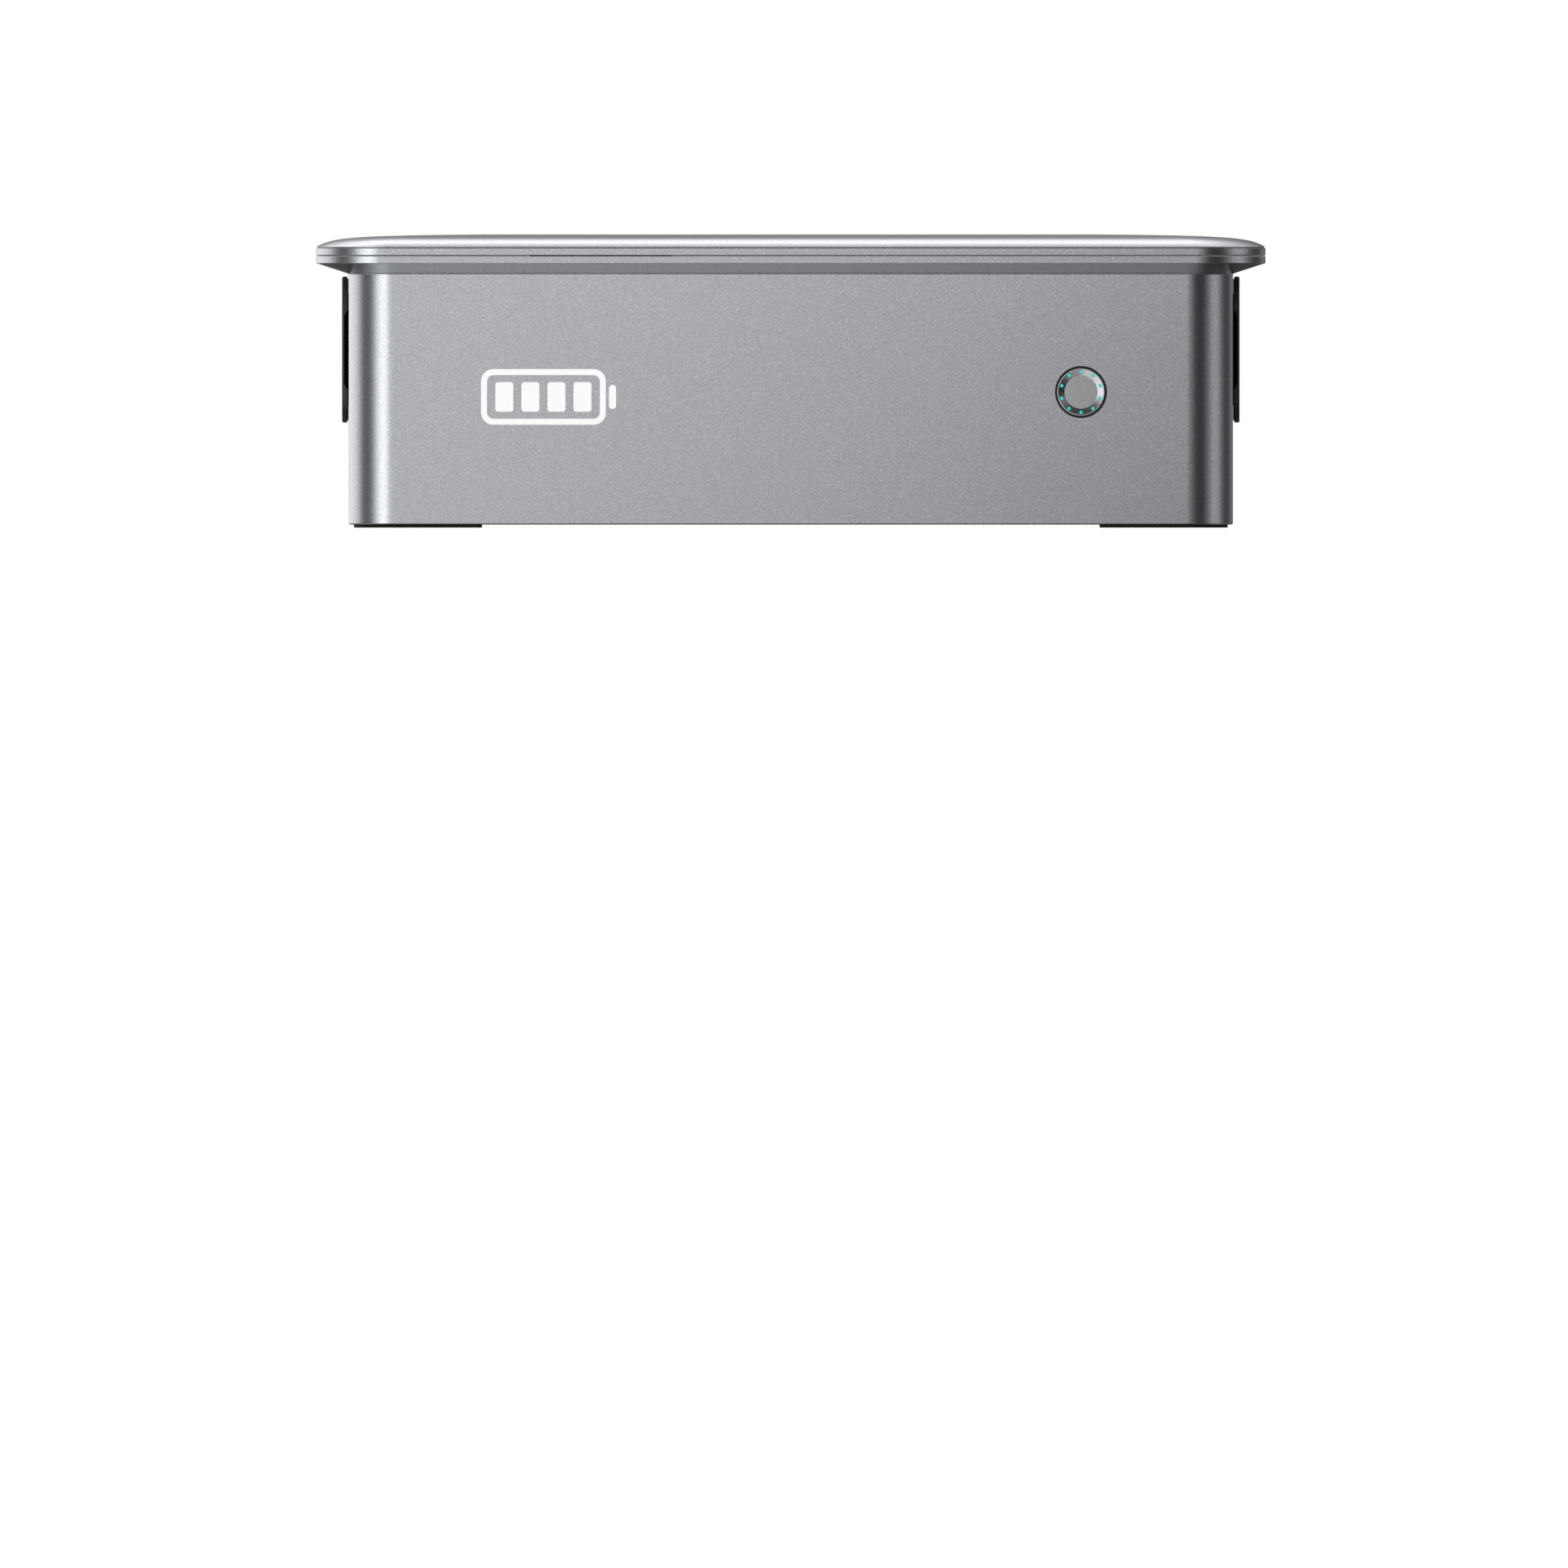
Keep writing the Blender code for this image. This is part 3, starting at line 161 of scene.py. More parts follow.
def finished(name, shape, matrix=None, smooth_angle=SMOOTH_ANGLE):
    """A bmesh as a piece in the scene, smooth except at its sharp edges."""
    if matrix is not None:
        bmesh.ops.transform(shape, matrix=matrix, verts=shape.verts)
    bmesh.ops.recalc_face_normals(shape, faces=shape.faces)
    mesh = bpy.data.meshes.new(name)
    shape.to_mesh(mesh)
    shape.free()
    mesh.shade_smooth()
    mesh.set_sharp_from_angle(angle=math.radians(smooth_angle))
    obj = bpy.data.objects.new(name, mesh)
    bpy.context.scene.collection.objects.link(obj)
    return obj


def loft(name, sections, matrix=None, ring=False, smooth_angle=SMOOTH_ANGLE):
    """A closed solid through (points, height) sections, capped at both ends, or joined up as a ring."""
    shape = bmesh.new()
    loops = [[shape.verts.new((x, y, z)) for x, y in points] for points, z in sections]
    for lower, upper in zip(loops, loops[1:] + loops[:1] if ring else loops[1:]):
        for i in range(len(lower)):
            after = (i + 1) % len(lower)
            shape.faces.new((lower[i], lower[after], upper[after], upper[i]))
    if not ring:
        shape.faces.new(loops[0])
        shape.faces.new(loops[-1])
    return finished(name, shape, matrix, smooth_angle)


def turned(name, profile, matrix, at=(0.0, 0.0), steps=64, ring=False, smooth_angle=SMOOTH_ANGLE):
    """A profile of (radius, height) points spun about the Z of a frame, at a place in it."""
    shape = bmesh.new()
    loops = []
    for radius, height in profile:
        points = circle(radius, steps, at) if radius else [at]
        loops.append([shape.verts.new((x, y, height)) for x, y in points])
    for first, second in zip(loops, loops[1:] + loops[:1] if ring else loops[1:]):
        for i in range(steps):
            after = (i + 1) % steps
            corners = [first[i % len(first)], first[after % len(first)]]
            corners += [second[after % len(second)], second[i % len(second)]]
            unique = list(dict.fromkeys(corners))
            if len(unique) > 2:
                shape.faces.new(unique)
    return finished(name, shape, matrix, smooth_angle)


def blocks(name, parts, matrix=None, bevel=0.0):
    """Boxes of (size, centre) as one piece, with bevelled edges."""
    shape = bmesh.new()
    for size, centre in parts:
        placed = Matrix.Translation(centre) @ Matrix.Diagonal((*size, 1.0))
        bmesh.ops.create_cube(shape, size=1.0, matrix=placed)
    if bevel:
        bmesh.ops.bevel(shape, geom=shape.edges[:], offset=bevel, segments=3, profile=0.5, affect="EDGES")
    return finished(name, shape, matrix)


def rods(name, radius, length, places, matrix=None, steps=16):
    """Round pins that stand along the frame's Z on the given places, with domed tips."""
    shape = bmesh.new()
    for x, y, foot in places:
        rings = [(radius, foot)]
        for tilt in (0.0, 0.4, 0.8, 1.2, 1.5):
            rings.append((radius * math.cos(tilt), foot + length - radius + radius * math.sin(tilt)))
        loops = []
        for size, height in rings:
            loops.append([shape.verts.new((u, v, height)) for u, v in circle(size, steps, (x, y))])
        for lower, upper in zip(loops, loops[1:]):
            for i in range(steps):
                after = (i + 1) % steps
                shape.faces.new((lower[i], lower[after], upper[after], upper[i]))
        shape.faces.new(loops[0])
        shape.faces.new(loops[-1])
    return finished(name, shape, matrix)


def carved(obj, *cutters, operation="DIFFERENCE", smooth_angle=SMOOTH_ANGLE):
    """The piece with the cutters taken away or joined on, its modifiers applied and the cutters removed."""
    for cutter in cutters:
        modifier = obj.modifiers.new("carve", "BOOLEAN")
        modifier.operation = operation
        modifier.solver = "EXACT"
        modifier.object = cutter
    bpy.context.view_layer.update()
    graph = bpy.context.evaluated_depsgraph_get()
    mesh = bpy.data.meshes.new_from_object(obj.evaluated_get(graph))
    obj.modifiers.clear()
    obj.data = mesh
    mesh.shade_smooth()
    mesh.set_sharp_from_angle(angle=math.radians(smooth_angle))
    for cutter in cutters:
        bpy.data.objects.remove(cutter)
    return obj


def piece(obj, material, body, slot, *stands_for):
    """Gives a piece its material and its body, and hides the CAD nodes that it stands for. The slot is not
    used.
    """
    obj.data.materials.clear()
    obj.data.materials.append(material)
    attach(obj, body)
    if stands_for:
        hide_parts(*stands_for)
    even = obj.modifiers.new("even_faces", "WEIGHTED_NORMAL")
    even.keep_sharp = True
    return obj


# ---- Materials ---------------------------------------------------------------------------------------
def feed(socket, value):
    """Links a node's output to the socket, or gives the socket a plain value."""
    if isinstance(value, bpy.types.NodeSocket):
        socket.id_data.links.new(value, socket)
    else:
        socket.default_value = value


class Finish:
    """A procedural material on a Principled shader, with textures in the unit's own coordinates."""

    def __init__(self, name, **inputs):
        self.material = bpy.data.materials.new(name)
        self.material.use_nodes = True
        self.tree = self.material.node_tree
        self.shader = self.tree.nodes["Principled BSDF"]
        for key, value in inputs.items():
            self.shader.inputs[key.replace("_", " ")].default_value = value
        self.place = self.add("ShaderNodeTexCoord").outputs["Object"]

    def add(self, kind, **settings):
        """A node. Settings that name an input fill or link it, and the others are the node's own."""
        node = self.tree.nodes.new(kind)
        for key, value in settings.items():
            label = key.replace("_", " ")
            if label in node.inputs:
                feed(node.inputs[label], value)
            else:
                setattr(node, key, value)
        return node

    def noise(self, scale, detail=2.0, roughness=0.5):
        settings = {"Vector": self.place, "Scale": scale, "Detail": detail, "Roughness": roughness}
        return self.add("ShaderNodeTexNoise", **settings).outputs["Fac"]

    def cells(self, scale):
        """A random grey for each of the small cells that fill space."""
        texture = self.add("ShaderNodeTexVoronoi", Vector=self.place, Scale=scale)
        return self.add("ShaderNodeSeparateColor", Color=texture.outputs["Color"]).outputs["Red"]

    def mapped(self, value, low, high, start=0.0, end=1.0):
        """The value's range from start to end, turned into the range from low to high."""
        node = self.add("ShaderNodeMapRange")
        for name, number in (("From Min", start), ("From Max", end), ("To Min", low), ("To Max", high)):
            node.inputs[name].default_value = number
        self.tree.links.new(value, node.inputs["Value"])
        return node.outputs["Result"]

    def tinted(self, factor, first, second):
        """A colour between two, by the factor. Each is a plain colour or another colour's output."""
        node = self.add("ShaderNodeMix", data_type="RGBA")
        feed(node.inputs["Factor"], factor)
        ends = [socket for socket in node.inputs if socket.type == "RGBA"]
        for socket, colour in zip(ends, (first, second)):
            feed(socket, (*colour, 1.0) if isinstance(colour, tuple) else colour)
        return [socket for socket in node.outputs if socket.type == "RGBA"][0]

    def colour(self, value):
        feed(self.shader.inputs["Base Color"], value)

    def rough(self, value):
        feed(self.shader.inputs["Roughness"], value)

    def bump(self, height, distance, strength=1.0):
        """A bump on top of the ones before it."""
        node = self.add("ShaderNodeBump", Height=height, Distance=distance, Strength=strength)
        before = self.shader.inputs["Normal"].links
        if before:
            self.tree.links.new(before[0].from_socket, node.inputs["Normal"])
        self.tree.links.new(node.outputs["Normal"], self.shader.inputs["Normal"])


def flake_paint():
    """Silver grey paint with fine metal flakes."""
    finish = Finish("flake_paint", Metallic=1.0)
    grain = finish.noise(3700.0, 2.0, 0.8)
    spread = finish.mapped(grain, 0.0, 1.0, 0.36, 0.66)
    ground = finish.tinted(spread, (0.375, 0.385, 0.405), (0.545, 0.555, 0.575))
    flakes = finish.mapped(finish.cells(3600.0), 0.0, 0.36, 0.70, 1.0)
    finish.colour(finish.tinted(flakes, ground, (0.9, 0.91, 0.93)))
    finish.rough(finish.mapped(finish.noise(9.0, 3.0), 0.24, 0.27))
    finish.bump(grain, 0.000012, 0.35)
    return finish.material


def moulded(name, dark, light, rough, grain_scale, grain_depth):
    """Injection-moulded plastic with a spark-eroded grain."""
    finish = Finish(name)
    grain = finish.noise(grain_scale, 4.0, 0.65)
    finish.colour(finish.tinted(finish.noise(40.0, 3.0), dark, light))
    finish.rough(finish.mapped(finish.noise(220.0, 2.0), rough - 0.05, rough + 0.06))
    finish.bump(grain, grain_depth)
    return finish.material


def rubber():
    """Black rubber, matt and slightly uneven."""
    finish = Finish("pad_rubber", Specular_IOR_Level=0.15)
    finish.colour(finish.tinted(finish.noise(70.0, 3.0), (0.004, 0.004, 0.005), (0.010, 0.010, 0.011)))
    finish.rough(finish.mapped(finish.noise(400.0, 3.0), 0.62, 0.82))
    finish.bump(finish.noise(1500.0, 3.0, 0.6), 0.00003)
    return finish.material


def blasted_metal():
    """Bead-blasted aluminium, for the button."""
    finish = Finish("blasted_metal", Metallic=1.0)
    grain = finish.noise(2600.0, 3.0, 0.6)
    finish.colour(finish.tinted(grain, (0.40, 0.41, 0.43), (0.58, 0.59, 0.61)))
    finish.rough(finish.mapped(grain, 0.18, 0.27))
    finish.bump(grain, 0.00002)
    return finish.material


def pitted_metal():
    """The button's middle, with a coarser, hammered grain."""
    finish = Finish("pitted_metal", Metallic=1.0)
    pits = finish.noise(2200.0, 3.0, 0.75)
    finish.colour(finish.tinted(pits, (0.20, 0.21, 0.23), (0.80, 0.81, 0.82)))
    finish.rough(finish.mapped(pits, 0.22, 0.40))
    finish.bump(pits, 0.00006)
    return finish.material


def lit_guide():
    """Blue-green light pipes, glowing a little unevenly."""
    finish = Finish("lit_guide", Roughness=0.35, Emission_Strength=1.0)
    glow = finish.tinted(finish.noise(900.0, 2.0), (0.030, 0.42, 0.41), (0.055, 0.58, 0.57))
    finish.colour(finish.tinted(finish.noise(900.0, 2.0), (0.02, 0.25, 0.24), (0.03, 0.32, 0.30)))
    feed(finish.shader.inputs["Emission Color"], glow)
    return finish.material


def bare_metal(name, dark, light, low, high, scale=700.0):
    """Plated or bare metal with fine handling marks."""
    finish = Finish(name, Metallic=1.0)
    marks = finish.noise(scale, 4.0, 0.7)
    finish.colour(finish.tinted(finish.noise(60.0, 3.0), dark, light))
    finish.rough(finish.mapped(marks, low, high))
    finish.bump(marks, 0.00001)
    return finish.material


def white_print_painted_glow():
    """Screen-printed ink, thin enough to follow the grain of the paint under it. Its faint white glow is
    painted light that brightens the print.
    """
    finish = Finish("white_print_painted_glow", Specular_IOR_Level=0.35, Emission_Strength=0.4)
    finish.shader.inputs["Emission Color"].default_value = (1.0, 1.0, 1.0, 1.0)
    finish.colour(finish.tinted(finish.noise(500.0, 3.0), (0.88, 0.88, 0.88), (0.96, 0.96, 0.96)))
    finish.rough(finish.mapped(finish.noise(900.0, 2.0), 0.42, 0.55))
    finish.bump(finish.noise(1300.0, 3.0, 0.6), 0.000015)
    return finish.material


def solder_resist():
    """Green board lacquer with the copper tracks showing through."""
    finish = Finish("solder_resist")
    tracks = finish.noise(260.0, 1.0)
    copper = finish.mapped(tracks, 0.0, 1.0, 0.48, 0.54)
    finish.colour(finish.tinted(copper, (0.010, 0.07, 0.035), (0.025, 0.15, 0.07)))
    finish.rough(finish.mapped(tracks, 0.28, 0.42))
    finish.bump(tracks, 0.00003)
    return finish.material


SHELL = flake_paint()
BLACK = moulded("black_moulding", (0.010, 0.010, 0.011), (0.020, 0.020, 0.022), 0.42, 1500.0, 0.00004)
DARK = moulded("dark_moulding", (0.050, 0.051, 0.055), (0.075, 0.076, 0.080), 0.50, 1200.0, 0.00005)
SOCKET = moulded("socket_moulding", (0.030, 0.030, 0.033), (0.050, 0.050, 0.054), 0.38, 1800.0, 0.00002)
SLEEVE = moulded("cell_sleeve", (0.020, 0.075, 0.20), (0.035, 0.11, 0.28), 0.30, 300.0, 0.00006)
RED_SLEEVE = moulded("red_sleeve", (0.35, 0.015, 0.012), (0.48, 0.022, 0.018), 0.45, 700.0, 0.00004)
RUBBER = rubber()
BLASTED = blasted_metal()
PITTED = pitted_metal()
GLOW = lit_guide()
STEEL = bare_metal("plated_steel", (0.50, 0.50, 0.51), (0.64, 0.64, 0.63), 0.22, 0.40)
BRASS = bare_metal("gilt_contact", (0.78, 0.58, 0.24), (0.90, 0.70, 0.33), 0.18, 0.32, 1200.0)
COPPER = bare_metal("bare_copper", (0.66, 0.34, 0.20), (0.80, 0.45, 0.30), 0.24, 0.40)
MILLED = bare_metal("milled_aluminium", (0.55, 0.56, 0.58), (0.68, 0.68, 0.70), 0.28, 0.45)
BOARD = solder_resist()
PRINT_PAINTED_GLOW = white_print_painted_glow()


def finish_cad_nodes():
    """Better materials for the CAD nodes whose shape is right."""
    by_slot = {
        "shell_metal": SHELL,
        "deck_plastic": DARK,
        "black_plastic": BLACK,
        "socket_plastic": SOCKET,
        "rubber": RUBBER,
        "button_metal": BLASTED,
        "light_guide": GLOW,
        "steel": STEEL,
        "cell_can": SLEEVE,
        "copper": COPPER,
        "circuit_board": BOARD,
        "heat_sink": MILLED,
        "cable_red": RED_SLEEVE,
        "cable_black": BLACK,
    }
    for entry in frame["record"]["subparts"]:
        node = frame["nodes"][entry["node"]]
        node.data.materials.clear()
        node.data.materials.append(by_slot[entry["material_slot"]])


# ---- Shells ------------------------------------------------------------------------------------------
def bore_profile(radius, top, foot):
    """Half outline of a round cutter, to be turned."""
    return [(0.0, top), (radius, top), (radius, foot), (0.0, foot)]


def place_on_rear(node):
    """Where a node's middle is in the rear wall's frame."""
    low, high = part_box(node)
    return (-(low.x + high.x) / 2, (low.z + high.z) / 2)


FOOT_CORNERS = ("rear_right", "rear_left", "front_left", "front_right")  # anticlockwise from +X +Y


def foot_outline(corner, inset):
    """Plan outline of a foot, moved inwards. Its outer corner follows the wall's corner."""
    low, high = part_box(f"foot_{corner}")
    outer_radius, inner_radius = BODY_RADIUS - (HALF_WIDTH - FOOT_HIGH.x), 0.003
    radii = tuple((outer_radius if name == corner else inner_radius) - inset for name in FOOT_CORNERS)
    centre = ((low.x + high.x) / 2, (low.y + high.y) / 2)
    return rounded_rect(high.x - low.x - 2 * inset, high.y - low.y - 2 * inset, radii, centre=centre)


def make_tub_shell():
    """The painted tub, with a soft edge wherever the casting has one."""
    ledge_z = BRIM_TOP_Z - LEDGE_DEPTH
    profile = [
        (-BASE_INSET, BASE_Z, 0.0),
        (-1.5 * BASE_CHAMFER, BASE_Z, 0.00005),
        (0.0, BASE_Z + BASE_CHAMFER, 0.00015),
        (0.0, FLARE_FOOT_Z, 0.0004),
        (OVERHANG, FLARE_TOP_Z, 0.00015),
        (OVERHANG, BRIM_TOP_Z - LIP_FALL, 0.00015),
        (GROOVE_OUTER, BRIM_TOP_Z, 0.00005),
        (GROOVE_OUTER, BRIM_TOP_Z - GROOVE_DEPTH, 0.0),
        (GROOVE_INNER, BRIM_TOP_Z - GROOVE_DEPTH, 0.0),
        (GROOVE_INNER, BRIM_TOP_Z, 0.0001),
        (LEDGE_OFFSET, BRIM_TOP_Z, 0.0001),
        (LEDGE_OFFSET, ledge_z, 0.0),
        (-WALL, ledge_z, 0.0002),
        (-WALL, BASE_Z + WALL, 0.001),
        (-BASE_INSET, BASE_Z + WALL, 0.0),
    ]
    tub = loft("tub_shell", [(outline(offset), z) for offset, z in softened(profile)])
    cutters = []
    for side, matrix in SIDES.items():
        window = rounded_rect(WINDOW_LENGTH, WINDOW_HEIGHT, WINDOW_RADIUS)
        cutters.append(loft(f"window_{side}", [(window, CUT_IN), (window, CUT_OUT)], matrix))
    hole = bore_profile(BUTTON_HOLE_RADIUS, CUT_OUT, CUT_IN)
    cutters.append(turned("button_hole", hole, FRONT, (BUTTON_X, BUTTON_Z)))
    flange, mouth_radius, mouth_top = 0.0035, 0.0023, 0.005
    mouth_size = [length - 2 * flange + 2 * GAP for length in (SOCKET_HIGH - SOCKET_LOW).xy]
    mouth = rounded_rect(*mouth_size, mouth_radius, centre=(STACK_X, STACK_Y))
    cutters.append(loft("socket_mouth", [(mouth, 0.0), (mouth, mouth_top)]))
    for corner in FOOT_CORNERS:
        pocket = foot_outline(corner, -GAP)
        cutters.append(loft(f"pocket_{corner}", [(pocket, 0.0), (pocket, FOOT_HIGH.z + GAP)]))
    for node, radius in (("vent_plug", VENT_BORE_RADIUS), ("earth_screw", EARTH_BORE_RADIUS)):
        bore = bore_profile(radius, CUT_OUT, CUT_IN)
        cutters.append(turned(f"bore_{node}", bore, REAR, place_on_rear(node), 32))
    piece(carved(tub, *cutters), SHELL, "enclosure", "shell_metal", "enclosure_tub")


DOME_REACH = 0.062  # the lid is flat from this distance inward from its edge
STEEP_SHARE, STEEP_LENGTH = 0.573, 0.005  # of the dome's fall towards its edge: the short steep part
FLAT_SHARE, FLAT_LENGTH = 0.427, 0.025  # and the long flat part


def dome_height(inward):
    """Height of the lid's surface at a distance inward from its edge."""
    rise = LID_TOP_Z - PANEL_FOOT_Z
    left_over = FLAT_SHARE * math.exp(-DOME_REACH / FLAT_LENGTH)
    steep = STEEP_SHARE * math.exp(-inward / STEEP_LENGTH)
    flat = FLAT_SHARE * math.exp(-inward / FLAT_LENGTH)
    return LID_TOP_Z - rise * (steep + flat - left_over) / (1.0 - left_over)


def dome_outline(inward):
    """Plan outline of the lid at a distance inward. Its corner radius shrinks more slowly than that."""
    radius = LID_RADIUS - 0.5 * min(inward, 0.035)
    return rounded_rect(LID_WIDTH - 2 * inward, LID_DEPTH - 2 * inward, radius)


def make_lid():
    """The domed panel and the rim under it, with the fine grooves that part them."""
    stations, edge_height = 34, 0.00002
    foot_outer, foot_inner = dome_outline(SHADOW_DEPTH), dome_outline(0.0055)
    hollow_from = 0.0065
    inward = [DOME_REACH * (i / stations) ** 2 for i in range(stations + 1)]
    outer = [(dome_outline(d), dome_height(d)) for d in inward[1:]]
    rim = [(dome_outline(0.0), PANEL_FOOT_Z), (dome_outline(0.0), PANEL_FOOT_Z + edge_height)]
    hollow = [d for d in reversed(inward) if d > hollow_from]
    inner = [(dome_outline(d), dome_height(d) - PANEL_THICKNESS) for d in hollow]
    foot = [(foot_inner, LID_LOW.z), (foot_outer, LID_LOW.z), (foot_outer, PANEL_FOOT_Z)]
    panel = loft("lid_dome", inner + foot + rim + outer, smooth_angle=50)
    piece(panel, SHELL, "lid", "shell_metal", "lid_panel")

    step = OVERHANG - SHADOW_DEPTH
    seat = RIM_LOW.z
    wall_inner, wall_top = step - 0.002, LID_LOW.z - 0.00005
    profile = [
        (step, seat, 0.0),
        (step, seat + SHADOW_GAP, 0.0),
        (OVERHANG, seat + SHADOW_GAP, 0.0002),
        (OVERHANG, BAND_TOP_Z, 0.0002),
        (step, BAND_TOP_Z, 0.0),
        (step, wall_top, 0.0),
        (wall_inner, wall_top, 0.0),
        (wall_inner, seat + LID_FLOOR, 0.0004),
    ]
    frame_rim = loft("lid_rim", [(outline(offset), z) for offset, z in softened(profile)])
    # Black rubber rings in the two grooves: a bond line under the panel and a seal lip over the seat. They
    # are partly a real joint and seal, and partly painted shade that darkens the grooves.
    for name, low, high, inset in (
        ("bond_line_shade", BAND_TOP_Z, LID_LOW.z, 0.00058),
        ("seal_lip_shade", seat + 0.00002, seat + SHADOW_GAP, 0.00030),
    ):
        outside, inside = outline(OVERHANG - inset), outline(step - 0.0004)
        ring = [(outside, low), (outside, high), (inside, high), (inside, low)]
        piece(loft(name, ring, ring=True), RUBBER, "lid", "rubber")

    roof, room_x, room_y, room_radius, hood_wall = RIM_HIGH.z, 0.055, 0.012, 0.002, 0.001
    centre = (STACK_X, STACK_Y)
    hood_size = (room_x + 2 * hood_wall, room_y + 2 * hood_wall)
    outside = rounded_rect(*hood_size, room_radius + hood_wall, 8, centre)
    inside = rounded_rect(room_x, room_y, room_radius, 8, centre)
    hood = loft("hood", [(outside, seat + 0.0005), (outside, roof)])
    room = loft("hood_room", [(inside, seat - 0.001), (inside, roof - hood_wall)])
    carved(frame_rim, hood, operation="UNION")
    carved(frame_rim, room)
    piece(frame_rim, SHELL, "lid", "shell_metal", "lid_frame")


# ---- Side ports --------------------------------------------------------------------------------------
def make_cover(side, matrix):
    """A cover with a rounded rim, a finger scoop in its front edge and notches round the fixed knuckles."""
    rear = REARWARD[side]
    radius = 0.012
    skirt_length, skirt_height, skirt_radius, skirt_wall = 0.1034, 0.0413, 0.0067, 0.0015
    skirt_tip = -0.0012

    def plate(inset):
        size = (COVER_LENGTH - 2 * inset, COVER_HEIGHT - 2 * inset)
        return rounded_rect(*size, radius - inset)

    def skirt(inset):
        return rounded_rect(skirt_length - 2 * inset, skirt_height - 2 * inset, skirt_radius - inset)

    edge = [(0.01, COVER_BACK_W, 0.0), (0.0, COVER_BACK_W, 0.0002)]
    edge += [(0.0, COVER_FACE_W, 0.0007), (0.01, COVER_FACE_W, 0.0)]
    sections = [(skirt(skirt_wall), COVER_BACK_W), (skirt(skirt_wall), skirt_tip), (skirt(0.0), skirt_tip)]
    sections += [(skirt(0.0), COVER_BACK_W)]
    sections += [(plate(inset), w) for inset, w in softened(edge, 5)[1:-1]]
    cover = loft(f"cover_plate_{side}", sections, matrix)

    lip_inset, lip_width, lip_tip, lip_end = 0.0007, 0.0014, 0.00012, 0.012
    outside, inside, lip_top = plate(lip_inset), plate(lip_inset + lip_width), COVER_BACK_W + 0.0003
    lip_sections = [(outside, lip_tip), (outside, lip_top), (inside, lip_top), (inside, lip_tip)]
    lip = loft(f"lip_{side}", lip_sections, matrix, ring=True)
    hinge_end = ((lip_end, COVER_HEIGHT, 0.004), (rear * (COVER_LENGTH - lip_end) / 2, 0.0, 0.0))
    carved(lip, blocks(f"lip_end_{side}", [hinge_end], matrix))
    carved(cover, lip, operation="UNION")

    cutters = []
    notch_u, notch_low, notch_high = COVER_LENGTH / 2 - 0.0003, 0.0050, 0.0135
    for sign in (-1, 1):
        size = (0.004, notch_high - notch_low, 0.006)
        centre = (rear * notch_u, sign * (notch_low + notch_high) / 2, 0.0015)
        cutters.append(blocks(f"notch_{side}_{sign}", [(size, centre)], matrix))

    half_height, slant, depth, reach, tip_reach = 0.01465, 0.0022, 0.0012, 0.0032, 0.0005
    front = -rear * COVER_LENGTH / 2
    outer = front - rear * 0.004
    scoop_sections = []
    for w, inner_reach, half in (
        (COVER_BACK_W - 0.003, reach, half_height),
        (COVER_BACK_W, reach, half_height),
        (COVER_BACK_W + depth, tip_reach, half_height - slant),
    ):
        inner = front + rear * inner_reach
        scoop_sections.append(([(outer, -half), (inner, -half), (inner, half), (outer, half)], w))
    cutters.append(loft(f"scoop_{side}", scoop_sections, matrix))
    piece(carved(cover, *cutters), BLACK, f"cover_{side}", "black_plastic", f"port_cover_{side}")


def make_contacts(side, matrix):
    """Gilt pins in the sockets' wells and a red lip round the mouth of the power socket."""
    power_u, data_u = REARWARD[side] * -0.024, REARWARD[side] * 0.026
    foot = -0.0146
    power = [(u, 0.0, foot) for u in spaced(2, 0.018, power_u)]
    piece(rods(f"power_pins_{side}", 0.0022, 0.0062, power, matrix, 24), BRASS, "enclosure", "copper")
    signal = [(u, v, foot) for u in spaced(2, 0.0044, power_u) for v in spaced(2, 0.0084)]
    signal += [(u, v, foot) for u in spaced(4, 0.0030, data_u) for v in spaced(2, 0.0052)]
    piece(rods(f"signal_pins_{side}", 0.0005, 0.0058, signal, matrix, 12), BRASS, "enclosure", "copper")
    low, high = -0.0069, -0.0064
    outside = rounded_rect(0.033, 0.019, 0.0035, 8, (power_u, 0.0))
    inside = rounded_rect(0.0305, 0.0165, 0.0025, 8, (power_u, 0.0))
    sections = [(outside, low), (outside, high), (inside, high), (inside, low)]
    piece(loft(f"power_lip_{side}", sections, matrix, ring=True), RED_SLEEVE, "enclosure", "cable_red")


